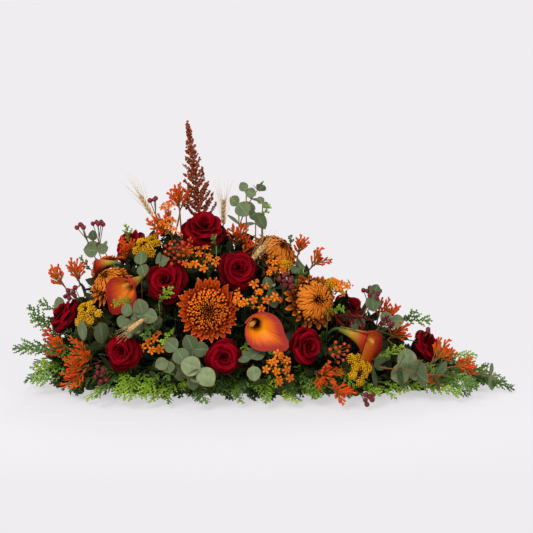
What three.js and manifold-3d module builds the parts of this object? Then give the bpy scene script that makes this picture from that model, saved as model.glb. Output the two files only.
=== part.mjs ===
// A pyramid funeral arrangement in autumn colours: roses, chrysanthemums, calla lilies, berries,
// grain and greenery, each on its own stem, standing in a carved block of floral foam on a low tray.
// Millimetres, +Z up, +X along the tail, -Y toward the side it is seen from.
// The origin is on the tray's flat underside.
import * as THREE from 'three';
import Module from 'manifold-3d';

const wasm = await Module();
wasm.setup();

// Driving dimensions.
const GAP = 0.35; // clearance between one piece and the next
const TRAY = { length: 490, width: 140, height: 32, wall: 2.5, floor: 3, corner: 28, lip: 5, lipDepth: 2 };
const FOAM = { length: 460, width: 122, crestFrom: -115, crestTo: -20, crest: 182, head: 100, tail: 76 };
const FOAM_RIDGE = 74; // width of the foam along its top
const ROOT_DEPTH = 30; // how far a stem is pushed into the foam
const MARCH = 1.5; // step of the search for the point where a stem meets the foam
const REACH = 600; // the longest stem
const CORE = { from: -205, to: 205, side: 22, height: 0.52 };
const SHIFTS = [0, 9, -9, 18, -18, 27, -27, 38, -38];
const TRIES = [0, 22, -22, 44, -44].flatMap((side) => SHIFTS.flatMap((dx) => [0, 12, -12].flatMap(
  (dz) => [0, 10, -10].map((dy) => [dx, dy, dz, side]))));
// Radii of the stems.
const STEM = { rose: 2.6, mum: 2.8, calla: 3.2, cypress: 2.2, eucalyptus: 1.6, plume: 1.8, wheat: 1.2 };
const UPPER = 0.85; // a branch's radius above its stem, as a share of the stem's
const LEAF_ANGLES = [1.0, 2.1, 3.14, 4.2, 5.3]; // points of a round leaf's rim, from its stalk
const LEAF_THICK = 2;
const SPRAY = { finger: 32, from: 0.24, to: 0.96, rib: 2, thick: 3, widest: 44, step: 0.8 }; // of cypress
const HAND_THICK = 3.4;
const HUB = 48; // height where the lower greens leave the foam
const FRONT = -68; // the foam's front face, at the tray's rim
const TURN = 2 * Math.PI;
const GOLDEN = Math.PI * (3 - Math.sqrt(5));

const V = (x, y, z) => new THREE.Vector3(x, y, z);
const radians = THREE.MathUtils.degToRad;
const lerp = THREE.MathUtils.lerp;

// A seeded draw between -1 and 1, so that every build is the same.
function dice(seed) {
  let state = seed;
  return () => {
    state = (state * 1664525 + 1013904223) % 4294967296;
    return (state / 4294967296) * 2 - 1;
  };
}

// A direction from its bearing and height in degrees: 0, 0 faces the viewer, 90, 0 faces the tail.
function heading(bearing, height) {
  const b = radians(bearing);
  const h = radians(height);
  return V(Math.sin(b) * Math.cos(h), -Math.cos(b) * Math.cos(h), Math.sin(h));
}

// Right, up and forward round a direction.
function basis(forward) {
  const a = forward.clone().normalize();
  const level = Math.abs(a.z) > 0.98 ? V(1, 0, 0) : V(0, 0, 1).cross(a).normalize();
  return { u: level, v: a.clone().cross(level).normalize(), a };
}

const place = (origin, b, x, y, z) =>
  origin.clone().addScaledVector(b.u, x).addScaledVector(b.v, y).addScaledVector(b.a, z);

// A ring of points round an axis.
const ring = (centre, b, sides, radius, level, turn = 0) => Array.from({ length: sides }, (_, k) => {
  const angle = (k / sides) * TURN + turn;
  return place(centre, b, Math.cos(angle) * radius, Math.sin(angle) * radius, level);
});

function toSolid(geometry) {
  const index = geometry.index.array;
  const position = geometry.getAttribute('position').array;
  return new wasm.Manifold(new wasm.Mesh({
    numProp: 3,
    vertProperties: new Float32Array(position),
    triVerts: new Uint32Array(index),
  }));
}

// A closed solid through a row of rings of points. A ring of one point closes an end to a tip, and a
// ring may have twice as many points as its neighbour. Each four-sided face is split the shorter way.
function loft(rings) {
  const points = rings.flat();
  const faces = [];
  const cap = (first, count, flip) => {
    for (let i = 1; i < count - 1; i++) {
      faces.push(flip ? [first, first + i + 1, first + i] : [first, first + i, first + i + 1]);
    }
  };
  const widen = (low, n, high, flip) => {
    const face = (a, b, c) => faces.push(flip ? [a, c, b] : [a, b, c]);
    for (let i = 0; i < n; i++) {
      const j = (i + 1) % n;
      face(low + i, low + j, high + 2 * i + 1);
      face(low + i, high + 2 * i + 1, high + 2 * i);
      face(low + j, high + 2 * j, high + 2 * i + 1);
    }
  };
  const quad = (a, b, c, d) => {
    if (points[a].distanceTo(points[c]) <= points[b].distanceTo(points[d])) faces.push([a, b, c], [a, c, d]);
    else faces.push([a, b, d], [b, c, d]);
  };
  let start = 0;
  cap(0, rings[0].length, true);
  for (let r = 0; r < rings.length - 1; r++) {
    const n = rings[r].length;
    const m = rings[r + 1].length;
    const next = start + n;
    const count = Math.max(n, m);
    if (n > 1 && m === 2 * n) widen(start, n, next, false);
    else if (m > 1 && n === 2 * m) widen(next, m, start, true);
    else {
      for (let i = 0; i < count; i++) {
        const j = (i + 1) % count;
        if (m === 1) faces.push([start + i, start + j, next]);
        else if (n === 1) faces.push([start, next + j, next + i]);
        else quad(start + i, start + j, next + j, next + i);
      }
    }
    start = next;
  }
  cap(start, rings.at(-1).length, false);
  let volume = 0;
  for (const [a, b, c] of faces) volume += points[a].dot(points[b].clone().cross(points[c]));
  if (volume < 0) faces.forEach((face) => face.reverse());
  const geometry = new THREE.BufferGeometry().setFromPoints(points);
  geometry.setIndex(faces.flat());
  return toSolid(geometry);
}

// A thin stem through some points, with a section of a few sides that doesn't turn on its way.
function rod(points, radius, sides = 3) {
  let u = null;
  const rings = points.map((point, i) => {
    const before = points[Math.max(0, i - 1)];
    const after = points[Math.min(points.length - 1, i + 1)];
    const a = after.clone().sub(before).normalize();
    u = u ? u.clone().addScaledVector(a, -u.dot(a)).normalize() : basis(a).u;
    return ring(point, { u, v: a.clone().cross(u), a }, sides, radius, 0);
  });
  return loft(rings);
}

// A three-sided finger, widest at a share of its length, sunk at its root and pointed at its end.
function finger(root, end, radius, widest = 0.6) {
  const b = basis(end.clone().sub(root));
  const belly = root.clone().lerp(end, widest);
  const ring = [0, 1, 2].map((k) => {
    const angle = (k / 3) * TURN + 0.5;
    return place(belly, b, Math.cos(angle) * radius, Math.sin(angle) * radius, 0);
  });
  return loft([[root], ring, [end]]);
}

// A bead with a waist of some sides, for berries, seeds and buds.
function bead(centre, b, radius, length, sides) {
  return loft([
    [place(centre, b, 0, 0, -length / 2)],
    ring(centre, b, sides, radius, -length / 5), ring(centre, b, sides, radius, length / 5),
    [place(centre, b, 0, 0, length / 2)],
  ]);
}

// A flat lens: a rim of any outline round a middle that is thicker than its edge.
function lens(middle, normal, rim, thick) {
  const lift = normal.clone().multiplyScalar(thick / 2);
  return loft([[middle.clone().sub(lift)], rim, [middle.clone().add(lift)]]);
}

// A round leaf on the side of a stem, raised toward its tip.
function sideLeaf(at, b, turn, size, lift, grow) {
  const out = place(V(0, 0, 0), b, Math.cos(turn), Math.sin(turn), lift).normalize();
  const across = b.a.clone().cross(out).normalize();
  const half = size / 2 + grow;
  const middle = at.clone().addScaledVector(out, size * 0.48);
  const rim = LEAF_ANGLES.map((angle) => middle.clone()
    .addScaledVector(out, -Math.cos(angle) * half).addScaledVector(across, Math.sin(angle) * half));
  return lens(middle, out.clone().cross(across), [at, ...rim], LEAF_THICK + 2 * grow);
}

// The single round leaf that ends a branch.
function endLeaf(at, b, size, grow) {
  const half = size / 2 + grow;
  const middle = place(at, b, 0, 0, size * 0.45);
  const rim = LEAF_ANGLES.map((angle) =>
    place(middle, b, Math.sin(angle) * half, 0, -Math.cos(angle) * half));
  return lens(middle, b.v, [place(at, b, 0, 0, -5), ...rim], LEAF_THICK + 2 * grow);
}

// Every piece that stands already, with the plant it belongs to. A new piece of another plant is kept
// only where its thicker copy meets none of them.
const standing = [];
const plants = [];
const roots = []; // the space that each stem takes in the foam
const group = new THREE.Group();

function boxOf(solid) {
  const { min, max } = solid.boundingBox();
  return new THREE.Box3(V(...min), V(...max));
}

function stand(owner, solid) {
  standing.push({ owner, solid, box: boxOf(solid) });
}

function blocked(solid, owner, passFoam = false) {
  const box = boxOf(solid);
  return standing.some((other) => other.owner !== owner && !(passFoam && other.owner === 'foam')
    && other.box.intersectsBox(box) && !solid.intersect(other.solid).isEmpty());
}

const material = (color, roughness) => new THREE.MeshStandardMaterial({ color, roughness, metalness: 0 });
const LOOKS = {
  tray: material(0x1f2b22, 0.6), foam: material(0x35523a, 0.95),
  rose: material(0x8a0a18, 0.65), bronze: material(0xb4480c, 0.7), amber: material(0xc7751f, 0.7),
  calla: material(0xd9631a, 0.45), cypress: material(0x3f7a2c, 0.8), eucalyptus: material(0x77927a, 0.7),
  flame: material(0xd8490f, 0.75), orange: material(0xf07c14, 0.7), yellow: material(0xd9a30e, 0.85),
  berry: material(0x6b1524, 0.35), straw: material(0xcfae78, 0.8), rust: material(0x7a2a14, 0.85),
  wine: material(0x5a1512, 0.85),
};

// Turns a solid into a named mesh of the arrangement. Only the largest body is kept.
function show(name, look, solid) {
  const body = solid.decompose().sort((p, q) => q.volume() - p.volume())[0];
  const mesh = body.getMesh();
  const stride = mesh.numProp;
  const position = new Float32Array(mesh.numVert * 3);
  for (let i = 0; i < mesh.numVert; i++) {
    position.set(mesh.vertProperties.subarray(i * stride, i * stride + 3), i * 3);
  }
  const geometry = new THREE.BufferGeometry();
  geometry.setAttribute('position', new THREE.BufferAttribute(position, 3));
  geometry.setIndex(new THREE.BufferAttribute(new Uint32Array(mesh.triVerts), 1));
  geometry.computeVertexNormals();
  const shown = new THREE.Mesh(geometry, LOOKS[look]);
  shown.name = name;
  group.add(shown);
}

// One plant of the arrangement: a stem that stands in the foam, with all that grows on it.
class Plant {
  constructor(name, look) {
    this.name = name;
    this.look = look;
    this.solids = [];
    plants.push(this);
  }

  force(solid) {
    this.solids.push(solid);
    stand(this, solid);
  }

  // make(grow) builds a piece, thicker by grow all round. It is left off where it would touch.
  add(make) {
    if (blocked(make(2 * GAP), this)) return false;
    this.force(make(0));
    return true;
  }

  // Grows a stem from a point, backward at first, then bent toward the core of the foam.
  root(from, backward, radius, bend = 30) {
    const rooted = TRIES.some(([dx, dy, dz, side]) => {
      const knee = from.clone().addScaledVector(backward, bend).add(V(0, side, 0));
      const toward = foamCore(from).add(V(dx, dy, dz)).sub(knee).normalize();
      const entry = knee.clone();
      while (!inFoam(entry) && entry.distanceTo(knee) < REACH) entry.addScaledVector(toward, MARCH);
      const end = entry.clone().addScaledVector(toward, ROOT_DEPTH);
      if (!inFoam(entry) || !inFoam(end)) return false;
      const stem = (grow) => rod([from, knee, end], radius + grow);
      if (blocked(stem(2 * GAP), this, true)) return false;
      this.force(stem(0));
      roots.push(rod([from, knee, end.clone().addScaledVector(toward, GAP)], radius + 2 * GAP));
      return true;
    });
    if (!rooted) console.warn(this.name, 'found no free place for its stem');
  }

  finish() {
    show(this.name, this.look, wasm.Manifold.union(this.solids));
  }
}

// The foam's outline from the side, and its slope across.
const foamHalf = FOAM.length / 2;
const FOAM_BASE = TRAY.floor + GAP;
const FOAM_SIDE = [
  [-foamHalf, FOAM_BASE], [foamHalf, FOAM_BASE], [foamHalf, FOAM.tail],
  [FOAM.crestTo, FOAM.crest], [FOAM.crestFrom, FOAM.crest], [-foamHalf, FOAM.head],
];

function extruded(outline, depth, turn) {
  const shape = new THREE.Shape(outline.map(([x, y]) => new THREE.Vector2(x, y)));
  const geometry = new THREE.ExtrudeGeometry(shape, { depth, bevelEnabled: false });
  geometry.translate(0, 0, -depth / 2);
  geometry.applyMatrix4(turn);
  return weld(geometry);
}

// A three.js solid with its shared corners merged.
function weld(geometry) {
  const source = geometry.index ? geometry.toNonIndexed() : geometry;
  const raw = source.getAttribute('position');
  const found = new Map();
  const points = [];
  const index = [];
  for (let i = 0; i < raw.count; i++) {
    const p = V(raw.getX(i), raw.getY(i), raw.getZ(i));
    const key = [p.x, p.y, p.z].map((n) => Math.round(n * 1000)).join();
    if (!found.has(key)) {
      found.set(key, points.length);
      points.push(p);
    }
    index.push(found.get(key));
  }
  const merged = new THREE.BufferGeometry().setFromPoints(points);
  merged.setIndex(index);
  return toSolid(merged);
}

const UPRIGHT = new THREE.Matrix4().makeRotationX(Math.PI / 2);
const SIDEWAYS = new THREE.Matrix4().makeRotationZ(Math.PI / 2).multiply(UPRIGHT);

function foamBlock() {
  const across = [
    [-FOAM.width / 2, 0], [FOAM.width / 2, 0], [FOAM.width / 2, FOAM.tail],
    [FOAM_RIDGE / 2, FOAM.crest], [-FOAM_RIDGE / 2, FOAM.crest], [-FOAM.width / 2, FOAM.tail],
  ];
  const length = extruded(FOAM_SIDE, FOAM.width, UPRIGHT);
  return length.intersect(extruded(across, FOAM.length + 2, SIDEWAYS));
}

// The height of the foam's surface over a point, or nothing where the point is off it.
function foamTop(x, y) {
  if (Math.abs(x) > foamHalf || Math.abs(y) > FOAM.width / 2) return -Infinity;
  const toHead = (x + foamHalf) / (FOAM.crestFrom + foamHalf);
  const toTail = (foamHalf - x) / (foamHalf - FOAM.crestTo);
  const toRidge = (FOAM.width / 2 - Math.abs(y)) / ((FOAM.width - FOAM_RIDGE) / 2);
  return Math.min(FOAM.crest, lerp(FOAM.head, FOAM.crest, toHead), lerp(FOAM.tail, FOAM.crest, toTail),
    lerp(FOAM.tail, FOAM.crest, toRidge));
}

const inFoam = (p) => p.z > FOAM_BASE && p.z < foamTop(p.x, p.y);

// A rounded rectangle for the tray.
function trayOutline(length, width, corner) {
  const x = length / 2 - corner;
  const y = width / 2 - corner;
  const shape = new THREE.Shape();
  [[x, y, 0], [-x, y, 1], [-x, -y, 2], [x, -y, 3]].forEach(([cx, cy, q]) => {
    shape.absarc(cx, cy, corner, (q * Math.PI) / 2, ((q + 1) * Math.PI) / 2, false);
  });
  return shape.getPoints(2).slice(0, -1);
}

function slab(outline, from, to) {
  const shape = new THREE.Shape(outline);
  const geometry = new THREE.ExtrudeGeometry(shape, { depth: to - from, bevelEnabled: false });
  geometry.translate(0, 0, from);
  return weld(geometry);
}

function tray() {
  const { length, width, height, wall, floor, corner, lip, lipDepth } = TRAY;
  const body = slab(trayOutline(length, width, corner), 0, height);
  const rim = slab(trayOutline(length + 2 * lip, width + 2 * lip, corner + lip), height - lipDepth, height);
  const inside = slab(trayOutline(length - 2 * wall, width - 2 * wall, corner - wall), floor, height + 1);
  return body.add(rim).subtract(inside);
}

// The middle of the foam nearest to a flower.
function foamCore(p) {
  const x = THREE.MathUtils.clamp(p.x * 0.82, CORE.from, CORE.to);
  return V(x, THREE.MathUtils.clamp(p.y * 0.25, -CORE.side, CORE.side), foamTop(x, 0) * CORE.height);
}

// Rose: tiers of overlapping petals, the free edge of each one proud of the next, folding inward to a bud.
// Each ring is [radius, height, twist], as shares of the width and of the depth. Every second ring is a
// row of free edges.
const ROSE_RINGS = [
  [0.36, 0.26, 0], [0.49, 0.66, 0.05], [0.405, 0.5, 0.1], [0.36, 0.9, 0.45], [0.28, 0.66, 0.5],
  [0.23, 1.0, 0.9], [0.15, 0.78, 0.95], [0.1, 1.03, 1.35],
];
// A petal's two sides and its middle: their places round the ring, how far out and how high they stand.
const PETAL = { at: [0.06, 0.5, 0.92], out: [0.9, 1.02, 1.07], up: [0.94, 1.04, 0.96] };

function petalRing(base, b, petals, radius, height, twist, rim) {
  return Array.from({ length: petals * 3 }, (_, k) => {
    const spot = k % 3;
    const angle = ((Math.floor(k / 3) + PETAL.at[spot]) / petals) * TURN + twist;
    const r = radius * (rim ? PETAL.out[spot] : 1);
    const z = height * (rim ? PETAL.up[spot] : 1);
    return place(base, b, Math.cos(angle) * r, Math.sin(angle) * r, z);
  });
}

function rose(name, [x, y, z], size, bearing, height, petals = 4) {
  const plant = new Plant(name, 'rose');
  const b = basis(heading(bearing, height));
  const depth = size * 0.78;
  const base = place(V(x, y, z), b, 0, 0, -depth * 0.55);
  const rings = ROSE_RINGS.map(([radius, level, twist], k) =>
    petalRing(base, b, petals, size * radius, depth * level, twist, k % 2 === 1));
  plant.force(loft([[base], ...rings, [place(base, b, 0, 0, depth * 0.9)]]));
  return () => plant.root(place(base, b, 3.5, 0, 6), b.a.clone().negate(), STEM.rose);
}

// Chrysanthemum: star after star of pointed petals, each turned half a petal on the one outside it.
// Each star is [tip radius, tip height, cleft radius, cleft height], as shares of half the width.
const MUM_STARS = [
  [1.0, 0.08, 0.66, 0.02], [0.92, 0.3, 0.56, 0.14], [0.72, 0.46, 0.42, 0.26], [0.5, 0.54, 0.27, 0.34],
  [0.28, 0.54, 0.12, 0.36],
];

function mum(name, look, [x, y, z], size, bearing, height, petals = 12) {
  const plant = new Plant(name, look);
  const b = basis(heading(bearing, height));
  const half = size / 2;
  const base = V(x, y, z).addScaledVector(b.a, -size * 0.12);
  const rings = MUM_STARS.map(([tip, tipHeight, cleft, cleftHeight], star) =>
    Array.from({ length: petals * 2 }, (_, k) => {
      const angle = (k / (petals * 2)) * TURN;
      const [radius, level] = (k + star) % 2 ? [tip, tipHeight] : [cleft, cleftHeight];
      return place(base, b, Math.cos(angle) * radius * half, Math.sin(angle) * radius * half, level * half);
    }));
  plant.force(loft([[place(base, b, 0, 0, -half * 0.12)], ...rings, [place(base, b, 0, 0, half * 0.4)]]));
  return () => plant.root(place(base, b, 4, 0, 0), b.a.clone().negate(), STEM.mum);
}

// Calla lily: one spathe rolled into a funnel, open to a pointed lip, round a spadix.
function calla(name, [x, y, z], size, length, bearing, height, tipAt) {
  const plant = new Plant(name, 'calla');
  const b = basis(heading(bearing, height));
  const mouth = V(x, y, z);
  const sides = 8;
  const wall = 2.2;
  const hoop = (radius, level, lip) => Array.from({ length: sides }, (_, k) => {
    const turn = (k / sides) * TURN;
    const angle = turn + radians(tipAt);
    const point = lip * Math.max(0, Math.cos(turn)) ** 6;
    const r = radius * (1 + 0.5 * point);
    const back = lip * (0.1 * Math.cos(turn) - 0.16 * point);
    return place(mouth, b, Math.cos(angle) * r, Math.sin(angle) * r, level + back * size);
  });
  plant.force(loft([
    [place(mouth, b, 0, 0, -length)],
    hoop(size * 0.12, -length * 0.8, 0),
    hoop(size * 0.27, -length * 0.34, 0),
    hoop(size * 0.46, 0, 1),
    hoop(size * 0.27 - wall, -length * 0.28, 0),
    [place(mouth, b, 0, 0, -length * 0.66)],
  ]));
  plant.force(bead(place(mouth, b, 0, 0, -length * 0.42), b, size * 0.05, length * 0.75, 5));
  return () => plant.root(place(mouth, b, 1, 0, -length * 0.85), b.a.clone().negate(), STEM.calla);
}

// Round-leaved branches: leaves in pairs along a curve, smaller toward the tip.
function eucalyptus(name, points, pairs, size, roll = 0, lift = 0.45) {
  const plant = new Plant(name, 'eucalyptus');
  const path = new THREE.CatmullRomCurve3(points.map((p) => V(...p)));
  const joints = Array.from({ length: pairs + 1 }, (_, i) => path.getPointAt(i / pairs));
  while (joints.length > 1 && !plant.add((grow) => rod(joints, STEM.eucalyptus * UPPER + grow))) joints.pop();
  if (joints.length <= pairs) console.warn(name, 'has only', joints.length - 1, 'pairs of leaves');
  const along = path.getTangentAt(0);
  plant.root(joints[0].clone().addScaledVector(along, 4), along.clone().negate(), STEM.eucalyptus, 14);
  joints.slice(1).forEach((at, i) => {
    const reached = (i + 1) / pairs;
    const b = basis(path.getTangentAt(reached));
    const width = size * lerp(1, 0.62, reached);
    for (const side of [0, Math.PI]) {
      const foot = place(at, b, 0, 0, side ? -3.5 : -1.5);
      [0, 0.5, -0.5, 1, -1].some((turn) =>
        plant.add((grow) => sideLeaf(foot, b, i * 1.4 + side + turn + roll, width, lift, grow)));
    }
    if (i === pairs - 1) plant.add((grow) => endLeaf(at, b, width, grow));
  });
}

// Clusters: a stem that forks into axes, each with stalks leaving it one above another to a dome of tips.
function cluster(name, look, stalk, tipShape, parts) {
  const plant = new Plant(name, look);
  const fork = (part) => V(...part.at).addScaledVector(heading(...part.face), -part.spread * part.stem);
  const back = heading(...parts[0].face).negate();
  plant.root(fork(parts[0]).addScaledVector(back, -3), back, stalk, 16);
  parts.forEach((part, p) => {
    const roll = dice(part.seed);
    const from = fork(part);
    const centre = V(...part.at);
    const b = basis(heading(...part.face));
    const line = p ? [fork(parts[p - 1]), from, centre] : [from, centre];
    if (!plant.add((grow) => rod(line, stalk * UPPER + grow))) {
      console.warn(name, 'left off part', p);
      return;
    }
    for (let k = 0; k < part.count; k++) {
      const r = part.spread * Math.sqrt((k + 0.5) / part.count);
      const angle = k * GOLDEN + part.seed;
      const dome = part.dome * (1 - (r / part.spread) ** 2) + roll() * part.spread * 0.12;
      const tip = place(centre, b, Math.cos(angle) * r, Math.sin(angle) * r, dome);
      const start = from.clone().lerp(centre, 0.75 * (1 - (k + 0.5) / part.count));
      tipShape(plant, start, tip, k);
    }
  });
}

// A berry on its stalk.
const berryTip = (radius) => (plant, start, tip) => {
  const b = basis(tip.clone().sub(start));
  plant.add((grow) => loft([
    [start], ring(tip, b, 3, 0.8 + grow, -radius), ring(tip, b, 6, radius + grow, -radius * 0.2),
    ring(tip, b, 3, radius * 0.6 + grow, radius * 0.85 + grow),
  ]));
};

// A five-pointed star flower on its stalk.
const starTip = (radius) => (plant, start, tip, k) => {
  const b = basis(tip.clone().sub(start));
  plant.add((grow) => {
    const star = Array.from({ length: 10 }, (_, i) => {
      const angle = (i / 10) * TURN + k;
      const r = (i % 2 ? radius : radius * 0.42) + grow;
      return place(tip, b, Math.cos(angle) * r, Math.sin(angle) * r, i % 2 ? 2.5 : 0);
    });
    return loft([[start], ring(tip, b, 5, 1.1 + grow, -3.5, k), star, [place(tip, b, 0, 0, 2.2 + grow)]]);
  });
};

// A flat yarrow head on its stalk: its rim and top rise and fall with its florets.
const headTip = (radius) => (plant, start, tip, k) => {
  const b = basis(tip.clone().sub(start));
  plant.add((grow) => {
    const bumps = (r, z, bump) => Array.from({ length: 6 }, (_, i) => {
      const angle = (i / 6) * TURN + k;
      const lift = i % 2 ? bump : -bump;
      const out = r + lift + grow;
      return place(tip, b, Math.cos(angle) * out, Math.sin(angle) * out, z + lift);
    });
    return loft([
      [start], ring(tip, b, 3, 1 + grow, -radius * 0.5, k), bumps(radius, 0, radius * 0.12),
      bumps(radius * 0.6, radius * 0.3 + grow, -radius * 0.12), [place(tip, b, 0, 0, radius * 0.3 + grow)],
    ]);
  });
};

// A flame-coloured hand in one piece: a stalk that widens to a palm with blunt fingers.
// Each finger is [side, reach, half width], as shares of the length.
const FINGERS = [[-0.5, 0.72, 0.07], [0.02, 1, 0.075], [0.54, 0.8, 0.07]];
const handTip = (length) => (plant, start, tip, k) => {
  const axis = basis(tip.clone().sub(start));
  const b = { ...axis, u: place(V(0, 0, 0), axis, Math.cos(k), Math.sin(k), 0) };
  b.v = b.a.clone().cross(b.u);
  const stalk = 0.8;
  plant.add((grow) => {
    const rim = FINGERS.flatMap(([side, reach, wide], i) => {
      const curl = (i % 2 ? 0.16 : -0.12) * length;
      const blunt = [-wide, wide].map((w) => {
        const x = (side + w * reach) * length * 0.75 + Math.sign(w) * grow;
        return place(tip, b, x, curl, (reach - side * w) * length);
      });
      if (i === 0) return blunt;
      const cleft = (FINGERS[i - 1][0] + side) * length * 0.1;
      return [place(tip, b, cleft, 0, length * 0.16 + grow), ...blunt];
    });
    const foot = [stalk + grow, -stalk - grow].map((x) => place(start, b, x, 0, 0));
    return lens(tip, b.v, [...rim, ...foot], HAND_THICK + 2 * grow);
  });
};

// A plume: a tall spike with side branches, each thick with beads, longer toward its foot.
function plume(name, look, foot, top, width, branches) {
  const plant = new Plant(name, look);
  const from = V(...foot);
  const to = V(...top);
  const b = basis(to.clone().sub(from));
  const height = to.distanceTo(from);
  // The stem of a drooping plume comes level to its foot.
  const backward = V(-b.a.x, -b.a.y, Math.min(0, -b.a.z)).normalize();
  plant.root(place(from, b, 0, 0, 2), backward, STEM.plume, 20);
  plant.add((grow) => finger(from, to, 2.4 + grow, 0.2));
  for (let k = 0; k < branches; k++) {
    const t = (k + 0.3) / branches;
    const reach = (width / 2) * (1 - t) ** 0.75 + 4;
    const angle = k * GOLDEN;
    const at = place(from, b, 0, 0, height * t * 0.96);
    const end = place(at, b, Math.cos(angle) * reach, Math.sin(angle) * reach, reach * 0.95);
    const clear = plant.add((grow) => finger(at, end, 2.3 + grow, 0.6));
    if (clear && reach > 12 && k % 3) {
      const joint = at.clone().lerp(end, 0.5);
      const aside = (k % 2 ? 1 : -1) * reach * 0.4;
      const bud = place(joint, b, -Math.sin(angle) * aside, Math.cos(angle) * aside, reach * 0.3);
      plant.add((grow) => finger(joint, bud, 1.7 + grow, 0.7));
    }
  }
}

// Wheat: an ear of plump grains in two rows, with long bristles.
function wheat(name, foot, top) {
  const plant = new Plant(name, 'straw');
  const from = V(...foot);
  const to = V(...top);
  const b = basis(to.clone().sub(from));
  const length = to.distanceTo(from);
  plant.root(place(from, b, 0, 0, 2), b.a.clone().negate(), STEM.wheat, 40);
  plant.add((grow) => finger(place(from, b, 0, 0, -2), to, 3 + grow, 0.4));
  for (let k = 0; k < 10; k++) {
    const side = k % 2 ? 1 : -1;
    const at = place(from, b, side, 0, (length * (k + 0.4)) / 11);
    const end = place(at, b, side * 5.4, (k % 4) - 1.5, 10);
    plant.add((grow) => finger(at, end, 2.2 + grow, 0.5));
    if (k > 3) {
      const bristle = place(end, b, side * 7, (k % 3) * 4 - 4, 34 + k);
      plant.add((grow) => finger(place(end, b, -side * 1.5, 0, -3), bristle, 0.7 + grow, 0.15));
    }
  }
}

// Cypress: flat feathered sprays, fanned from one hub at the foam and drooping to the table.
function sprayBlade(hub, bearing, reach, fall, rise, tilt, grow) {
  const forward = heading(bearing, 0);
  const right = V(0, 0, 1).cross(forward).normalize();
  const at = (s, t, lift) => {
    const share = THREE.MathUtils.clamp(s / reach, 0, 1.1);
    const z = rise * Math.sin(Math.PI * Math.min(1, share * 0.9)) - fall * share ** 1.4 + t * tilt + lift;
    return hub.clone().addScaledVector(forward, s).addScaledVector(right, t).setZ(hub.z + z);
  };
  const thick = SPRAY.thick / 2 + grow;
  const section = (s, half, sweep) => [
    at(s + sweep, -half - grow, 0), at(s, 0, thick), at(s + sweep, half + grow, 0), at(s, 0, -thick),
  ];
  const rings = [section(-SPRAY.rib, SPRAY.rib, 0)];
  const fingers = Math.round(reach / SPRAY.finger);
  const step = ((SPRAY.to - SPRAY.from) / fingers) * reach;
  for (let k = 0; k < fingers; k++) {
    const s = SPRAY.from * reach + k * step;
    const out = Math.min(0.31 * s, 0.55 * (1.12 * reach - s), SPRAY.widest - (k % 2) * 6);
    rings.push(section(s, SPRAY.rib, 0), section(s + step / 2, out, out * 0.75 + grow));
  }
  rings.push(section(SPRAY.to * reach, SPRAY.rib, 0), [at(reach + 9 + grow, 0, 0)]);
  return loft(rings);
}

function cypress(name, at, sprays) {
  const plant = new Plant(name, 'cypress');
  const hub = V(...at);
  const inward = V(foamCore(hub).x - hub.x, foamCore(hub).y - hub.y, 0).normalize();
  plant.root(hub.clone().addScaledVector(inward, -4), inward, STEM.cypress, 10);
  sprays.forEach(([bearing, reach, height, rise, tilt], i) => {
    const start = hub.clone().setZ(hub.z + i * SPRAY.step);
    const fall = start.z - height;
    const clear = [0, 5, -5, 10, -10, 15, -15, 20, -20].some((turn) =>
      plant.add((grow) => sprayBlade(start, bearing + turn, reach, fall, rise, tilt, grow)));
    if (!clear) console.warn(name, 'left a spray off at', bearing);
  });
}

// Tray and foam come first, so that nothing grows through them.
const trayBody = tray();
stand('tray', trayBody);
const block = foamBlock();
stand('foam', block);

// Flower heads, each with its place, its width, its bearing and its height of face.
const blooms = [
  rose('rose_top', [-67, -30, 332], 88, 5, 35),
  rose('rose_left', [-136, -95, 232], 82, -15, 25),
  rose('rose_centre', [2, -85, 255], 78, 12, 25),
  rose('rose_low_left', [-217, -140, 104], 72, -22, 8),
  rose('rose_low_centre', [-22, -172, 102], 70, 4, 2),
  rose('rose_low_right', [133, -150, 116], 70, 34, 8),
  rose('rose_head', [-342, -50, 152], 75, -75, 35),
  rose('rose_tail', [381, -30, 90], 68, 70, 32),
  rose('rose_behind_left', [-213, 40, 282], 78, -50, 40),
  rose('rose_behind_right', [226, 12, 158], 66, 50, 45),
  rose('rose_back_left', [-150, 120, 200], 80, 195, 15),
  rose('rose_back_centre', [30, 125, 200], 80, 170, 15),
  mum('mum_front', 'bronze', [-53, -146, 187], 123, -2, 8, 16),
  mum('mum_right', 'amber', [154, -105, 198], 109, 28, 14),
  mum('mum_top_right', 'amber', [88, 15, 286], 93, 50, 50),
  mum('mum_left', 'amber', [-252, -55, 219], 87, -35, 55),
  mum('mum_far_left', 'bronze', [-285, 52, 240], 80, -85, 40),
  mum('mum_back_left', 'amber', [-60, 150, 165], 100, 182, 10),
  mum('mum_back_right', 'bronze', [130, 125, 160], 95, 160, 12),
  calla('calla_front', [59, -170, 152], 79, 80, 18, 2, -25),
  calla('calla_right', [252, -128, 112], 60, 72, 70, -22, -50),
  calla('calla_left', [-222, -112, 203], 58, 66, -50, -8, -125),
  calla('calla_far_left', [-300, -12, 262], 42, 50, -85, 0, -90),
];
// Berries that lie on the table, under the greens.
cluster('berries_low_right', 'berry', 1.4, berryTip(5), [
  { at: [255, -190, 22], face: [20, 0], spread: 13, stem: 3.4, dome: 3, count: 6, seed: 20 },
]);

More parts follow.
